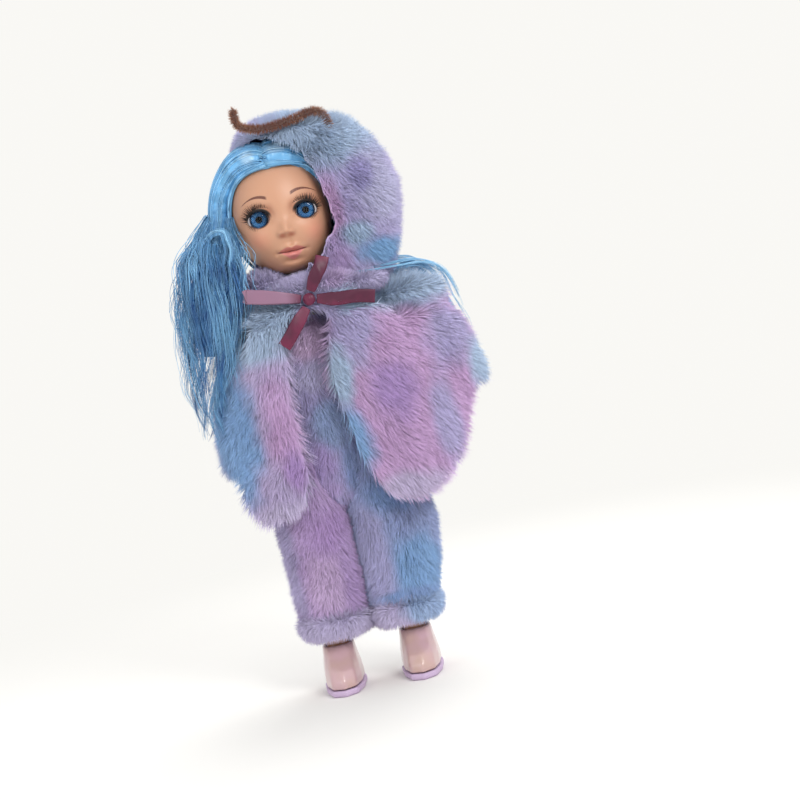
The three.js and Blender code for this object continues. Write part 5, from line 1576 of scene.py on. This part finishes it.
# SHADE_BLUE is painted shade on the left leg: at its top under the hem of the cape, and in a band above the cuff.
left_leg_fur = fur("left leg fur", "97A4D2", [
    (BLUE, (36, -20, 66), (16, 60, 22), 0.9), ("A5A2CE", (10, -20, 80), (10, 60, 40), 0.9),
    (SHADE_BLUE, (30, -20, 116), (20, 60, 12), 1.0), (SHADE_BLUE, (26, -20, 50), (16, 60, 5), 0.9)])
right_leg_fur = fur("right leg fur", "A98EBC", [
    ("BFA3CC", (-22, -20, 68), (13, 60, 18), 1.1), ("9679AA", (-14, -20, 100), (13, 60, 13), 1.1),
    ("A79CC4", (-44, -20, 80), (8, 60, 40), 0.9), ("9A80AE", (-6, -20, 60), (6, 60, 30), 0.9)])
cuff_fur = fur("cuff fur", "C4B8DE", [("A4BEE8", (38, -20, 42), (16, 60, 12), 0.8)], root=0.9)
# AC97CA, the small paler lilac patch low on the front, is a painted highlight.
body_fur = fur("body fur", "9F96C4", [
    ("C3A5CA", (-3, -30, 218), (14, 60, 15), 0.9), ("BDB6DE", (-2, -30, 193), (12, 60, 10), 0.9),
    ("8799C2", (2, -30, 164), (12, 60, 16), 0.9), ("9480B2", (-10, -30, 140), (10, 60, 14), 0.9),
    ("7F90BE", (12, -30, 132), (9, 60, 18), 0.9), ("AC97CA", (-8, -30, 124), (8, 60, 7), 0.9)])
FUR_OF = {"hood": hood_fur, "collar": collar_fur, "cape_front_left": left_fur, "cape_wing_left": left_fur,
          "cape_front_right": right_fur, "cape_wing_right": right_fur, "cape_back": left_fur, "cape_yoke": yoke_fur,
          "romper_leg_left": left_leg_fur, "romper_leg_right": right_leg_fur, "cuff_left": cuff_fur,
          "cuff_right": cuff_fur}
for node, dressed in GARMENTS.items():
    for piece in dressed:
        piece.data.materials.append(FUR_OF.get(node, body_fur))

# %% Painted vinyl
def head_axes(tree):
    """Coordinates in millimetres from the middle of the head, with the head's turn taken out."""
    centred = vector_math(tree, "SUBTRACT", object_place(tree), AXIS + Vector((0, NECK_Y, HEAD_Z)) * MM)
    turned = tree.nodes.new("ShaderNodeVectorRotate")
    turned.rotation_type = "Z_AXIS"
    turned.inputs["Angle"].default_value = -HEAD_TURN
    plug(tree, vector_math(tree, "SCALE", centred, 1000.0), turned.inputs["Vector"])
    parts = tree.nodes.new("ShaderNodeSeparateXYZ")
    tree.links.new(turned.outputs[0], parts.inputs[0])
    return [Flow(tree, parts.outputs[k]) for k in "XYZ"]


def hump(v, centre, width):
    """1 at the centre and 0 from a width away on both sides."""
    return (v - centre).size().between(0.0, width, 1.0, 0.0)


def both(*masks):
    made = masks[0]
    for mask in masks[1:]:
        made = made * mask
    return made


def face_paint(tree, skin):
    x, y, z = head_axes(tree)
    side = x.size()
    front = y.between(-6.0, -2.0, 1.0, 0.0)
    cheeks = both(hump(side, 17.0, 11.0), hump(z, -16.0, 10.0), front) * 0.45
    skin = mix(tree, cheeks, skin, srgb("D68A72"))
    # Painted shade: the front of the face darkens from below the mouth to the bottom of the chin, as shade under the
    # chin.
    jaw = both(z.between(-40.0, -26.0, 1.0, 0.0), front) * 0.35
    skin = mix(tree, jaw, skin, srgb("B87C5C"))
    ex = (side - EYE[0]) / LID_WIDE
    ez = (z - EYE[2]) / LID_HIGH
    around = (ex * ex + ez * ez).root()
    shadow = both(around.between(1.0, 2.3, 1.0, 0.0), z.between(-5.0, 2.0), front) * 0.6
    skin = mix(tree, shadow, skin, srgb("9C6248"))
    # Painted shade beside the inner corner of each eye, towards the bridge of the nose.
    inner_corner_shade = both(hump(side, 7.2, 3.8), hump(z, 0.5, 6.4), front) * 0.55
    skin = mix(tree, inner_corner_shade, skin, srgb("9A6248"))
    # Painted shade under the tip of the nose, at the nostrils.
    nose = both(hump(side, 2.6, 3.4), hump(z, -15.8, 2.2), front) * 0.75
    skin = mix(tree, nose, skin, srgb("A8604A"))
    across = (x - MOUTH_X).size()
    reach = across.between(3.0, 9.6, 0.0, 1.0)
    seam = z - (reach * 0.5 - 25.7)
    ends = across.between(6.6, 8.8, 1.0, 0.0)
    top = hump(across, 2.6, 7.2) * 2.5 + 0.3
    upper = both(seam.between(-0.1, 0.1), (top - seam).between(-0.35, 0.35), ends, front)
    lower_edge = across.between(0.0, 7.8, 5.0, 0.4)
    lower = both(seam.between(-0.1, 0.1, 1.0, 0.0), (seam + lower_edge).between(-0.5, 0.5), ends, front)
    skin = mix(tree, upper * 0.85, skin, srgb("BC6E66"))
    skin = mix(tree, lower * 0.9, skin, srgb("D2807C"))
    # Painted shade under the lower lip.
    under_lip_shade = both(hump(across, 0.0, 5.0), hump(z, -31.6, 1.6), front) * 0.45
    skin = mix(tree, under_lip_shade, skin, srgb("A46A52"))
    line = both(seam.size().between(0.16, 0.62, 1.0, 0.0), across.between(7.6, 9.6, 1.0, 0.0), front)
    skin = mix(tree, line * 0.9, skin, srgb("74362E"))
    arch = (side - 14.0) / 9.0
    middle = arch * arch * -3.2 + 10.0
    thin = side.between(7.6, 23.5, 1.3, 0.32)
    hairs = grain(tree, vector_math(tree, "MULTIPLY", object_place(tree), (2600.0, 400.0, 700.0)), 1.0, 1.0)
    brow = both((z - middle).size().between(thin * 0.5, thin, 1.0, 0.0), side.between(6.6, 8.2),
                side.between(21.5, 23.8, 1.0, 0.0), front) * hairs.between(0.2, 0.5, 0.75, 1.0)
    skin = mix(tree, brow * 0.95, skin, srgb("5E2F24"))
    liner = both(around.between(1.16, 1.34, 1.0, 0.0), z.between(-4.4, -0.6), front)
    low_line = both(around.between(1.0, 1.13, 1.0, 0.0), front) * 0.75
    skin = mix(tree, low_line, skin, srgb("4A2820"))
    return mix(tree, liner, skin, srgb("120A0A"))


def vinyl_material(name, painted):
    material, tree, shader = new_material(name, Roughness=0.44, Subsurface_Weight=0.1,
                                          Subsurface_Radius=(1.0, 0.5, 0.3), Subsurface_Scale=0.0015)
    place = object_place(tree)
    skin = mix(tree, grain(tree, place, 40.0), srgb("C8977A"), srgb("C08E71"))
    if painted:
        skin = face_paint(tree, skin)
    plug(tree, skin, shader.inputs["Base Color"])
    plug(tree, bump(tree, grain(tree, place, 900.0, 2.0), 0.06, 0.0002), shader.inputs["Normal"])
    return material


vinyl = vinyl_material("vinyl", False)
head.data.materials.append(vinyl_material("painted vinyl", True))
pearl, tree, shader = new_material("pearly vinyl", Roughness=0.28, Coat_Weight=0.6, Coat_Roughness=0.1)
plug(tree, mix(tree, grain(tree, object_place(tree), 70.0), srgb("C6A0B4"), srgb("BFA18C")), shader.inputs["Base Color"])
sole, tree, shader = new_material("sole", Roughness=0.6)
plug(tree, mix(tree, grain(tree, object_place(tree), 120.0), srgb("C9B3CF"), srgb("BBA3C4")), shader.inputs["Base Color"])
plastic, tree, shader = new_material("white plastic", Roughness=0.42)
place = object_place(tree)
plug(tree, mix(tree, grain(tree, place, 60.0), srgb("ECE7E0"), srgb("E4DED6")), shader.inputs["Base Color"])
plug(tree, bump(tree, grain(tree, place, 700.0, 2.0), 0.05, 0.0002), shader.inputs["Normal"])
for piece in limbs:
    piece.data.materials.append(sole if "sole" in piece.name else pearl if "shoe" in piece.name else vinyl)
PLAIN = ["torso_front_shell", "torso_back_shell", "neck_post",
         *[f"{plug_of}_plug_{word}" for plug_of in ("shoulder", "hip") for word in ("left", "right")]]
for node in PLAIN:
    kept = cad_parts[node].data
    kept.materials.clear()
    kept.materials.append(plastic)

# %% Hair material
hair, tree, shader = new_material("blue hair", Roughness=0.34, Anisotropic=0.3, Specular_IOR_Level=0.7)
place = object_place(tree)
height = tree.nodes.new("ShaderNodeSeparateXYZ")
plug(tree, place, height.inputs[0])
tall = Flow(tree, height.outputs["Z"])
shade = attribute(tree, "shade")
colour = mix(tree, shade.between(0.1, 0.95), srgb("6CAEDE"), srgb("9AD2F6"))


def glint(centre, size):
    """A soft bright spot, as the lamps leave on smooth hair."""
    off = vector_math(tree, "DIVIDE", vector_math(tree, "SUBTRACT", place, spot(*centre)), Vector(size) * MM)
    return vector_math(tree, "LENGTH", off).between(0.3, 1.0, 0.8, 0.0)


for centre, size in (((6, -16, 334), (10, 30, 5)), ((-12, -16, 331.5), (6, 30, 6))):
    colour = mix(tree, glint(centre, size) * shade.between(0.0, 1.0, 0.6, 1.0), colour, srgb("CDE8FB"))
streak = grain(tree, place, 60.0, 2.0).between(0.38, 0.66)
low_hair = mix(tree, shade.between(0.1, 0.9), srgb("1F5698"), srgb("90C8EE"))
wide = Flow(tree, height.outputs["X"])
low_hair = mix(tree, wide.between(AXIS.x - 0.01, AXIS.x + 0.01), low_hair, srgb("8FC6EA"))
colour = mix(tree, tall.between(0.262, 0.318, 1.0, 0.0) * (streak * 0.4 + 0.6), colour, low_hair)
# Painted shade: below the hood the threads of the locks are darker near their roots, as shade where they come
# out from under the hood.
tip = attribute(tree, "along")
colour = mix(tree, tip.between(0.0, 0.3, 0.35, 0.0) * tall.between(0.30, 0.31, 1.0, 0.0), colour, srgb("1E4E86"))
plug(tree, colour, shader.inputs["Base Color"])
for piece in (cap, top_hair, *rolls, *right_lock, *left_lock):
    piece.data.materials.append(hair)

# %% Satin and chenille
satin, tree, shader = new_material("plum satin", Roughness=0.42, Sheen_Weight=0.08, Sheen_Roughness=0.3,
                                   Specular_IOR_Level=0.35)
place = object_place(tree)
weave = grain(tree, vector_math(tree, "MULTIPLY", place, (400.0, 400.0, 2400.0)), 1.0, 2.0)
colour = mix(tree, grain(tree, place, 70.0).between(0.35, 0.65), srgb("68203F"), srgb("4C1932"))
width_way = tree.nodes.new("ShaderNodeSeparateXYZ")
plug(tree, place, width_way.inputs[0])
# Painted sheen: the upper part of the bow's loop, on the doll's right, is paler, in place of the satin's sheen.
loop_painted_sheen = both(Flow(tree, width_way.outputs["X"]).between(AXIS.x - 0.008, AXIS.x + 0.004, 0.75, 0.0),
             Flow(tree, width_way.outputs["Z"]).between(0.232, 0.239))
colour = mix(tree, loop_painted_sheen, colour, srgb("9A7890"))
plug(tree, colour, shader.inputs["Base Color"])
plug(tree, bump(tree, weave, 0.25, 0.0001), shader.inputs["Normal"])
for piece in (*ribbons, knot):
    piece.data.materials.append(satin)
chenille, tree, shader = new_material("brown chenille", Roughness=0.9, Sheen_Weight=0.4)
tint = mix(tree, grain(tree, object_place(tree), 90.0).between(0.4, 0.6), srgb("8A5540"), srgb("B5805F"))
# Painted shade: each bristle is darker at its root and the wire is darkest, as shade inside the fuzz; the grain
# between two browns is the chenille's own tone.
plug(tree, mix(tree, attribute(tree, "along"), srgb("6A3C2C"), tint), shader.inputs["Base Color"])
wire.data.materials.append(chenille)
bristles.data.materials.append(chenille)
white, tree, shader = new_material("eye white", Roughness=0.2)
plug(tree, mix(tree, grain(tree, object_place(tree), 90.0), srgb("BDB6B8"), srgb("ADA6AA")), shader.inputs["Base Color"])
blue, tree, shader = new_material("iris", Roughness=0.5, Specular_IOR_Level=0.1)
x, y, z = head_axes(tree)
ex = x.size() - EYE[0]
ez = z - EYE[2]
reach = (ex * ex + ez * ez).root()
flat_way = tree.nodes.new("ShaderNodeCombineXYZ")
plug(tree, ex / (reach + 0.01), flat_way.inputs["X"])
plug(tree, ez / (reach + 0.01), flat_way.inputs["Y"])
rays = grain(tree, Flow(tree, flat_way.outputs[0]), 9.0, 3.0, 0.7)
colour = mix(tree, rays.between(0.35, 0.65), srgb("17406E"), srgb("3E76AA"))
colour = mix(tree, reach.between(1.8, 2.9, 0.6, 0.0), colour, srgb("16365E"))
colour = mix(tree, reach.between(3.6, 5.0, 0.0, 0.97), colour, srgb("0A1A30"))
colour = mix(tree, reach.between(1.9, 2.2, 1.0, 0.0), colour, srgb("020203"))
plug(tree, colour, shader.inputs["Base Color"])
clear, tree, shader = new_material("clear acrylic", Roughness=0.03, Transmission_Weight=1.0, IOR=1.2)
shadow = Flow(tree, tree.nodes.new("ShaderNodeLightPath").outputs["Is Shadow Ray"])
plug(tree, shadow * -1.0 + 1.0, shader.inputs["Alpha"])
lash, tree, shader = new_material("lash hair", Roughness=0.5)
plug(tree, mix(tree, attribute(tree, "shade"), srgb("1E1210"), srgb("2A1A16")), shader.inputs["Base Color"])
for word in ("left", "right"):
    for piece, stuff in zip(eyes[word], (white, blue, clear)):
        piece.data.materials.append(stuff)
    bpy.data.objects[f"lash_hairs_{word}"].data.materials.append(lash)

# %% Tidy up
bpy.data.objects.remove(spike)
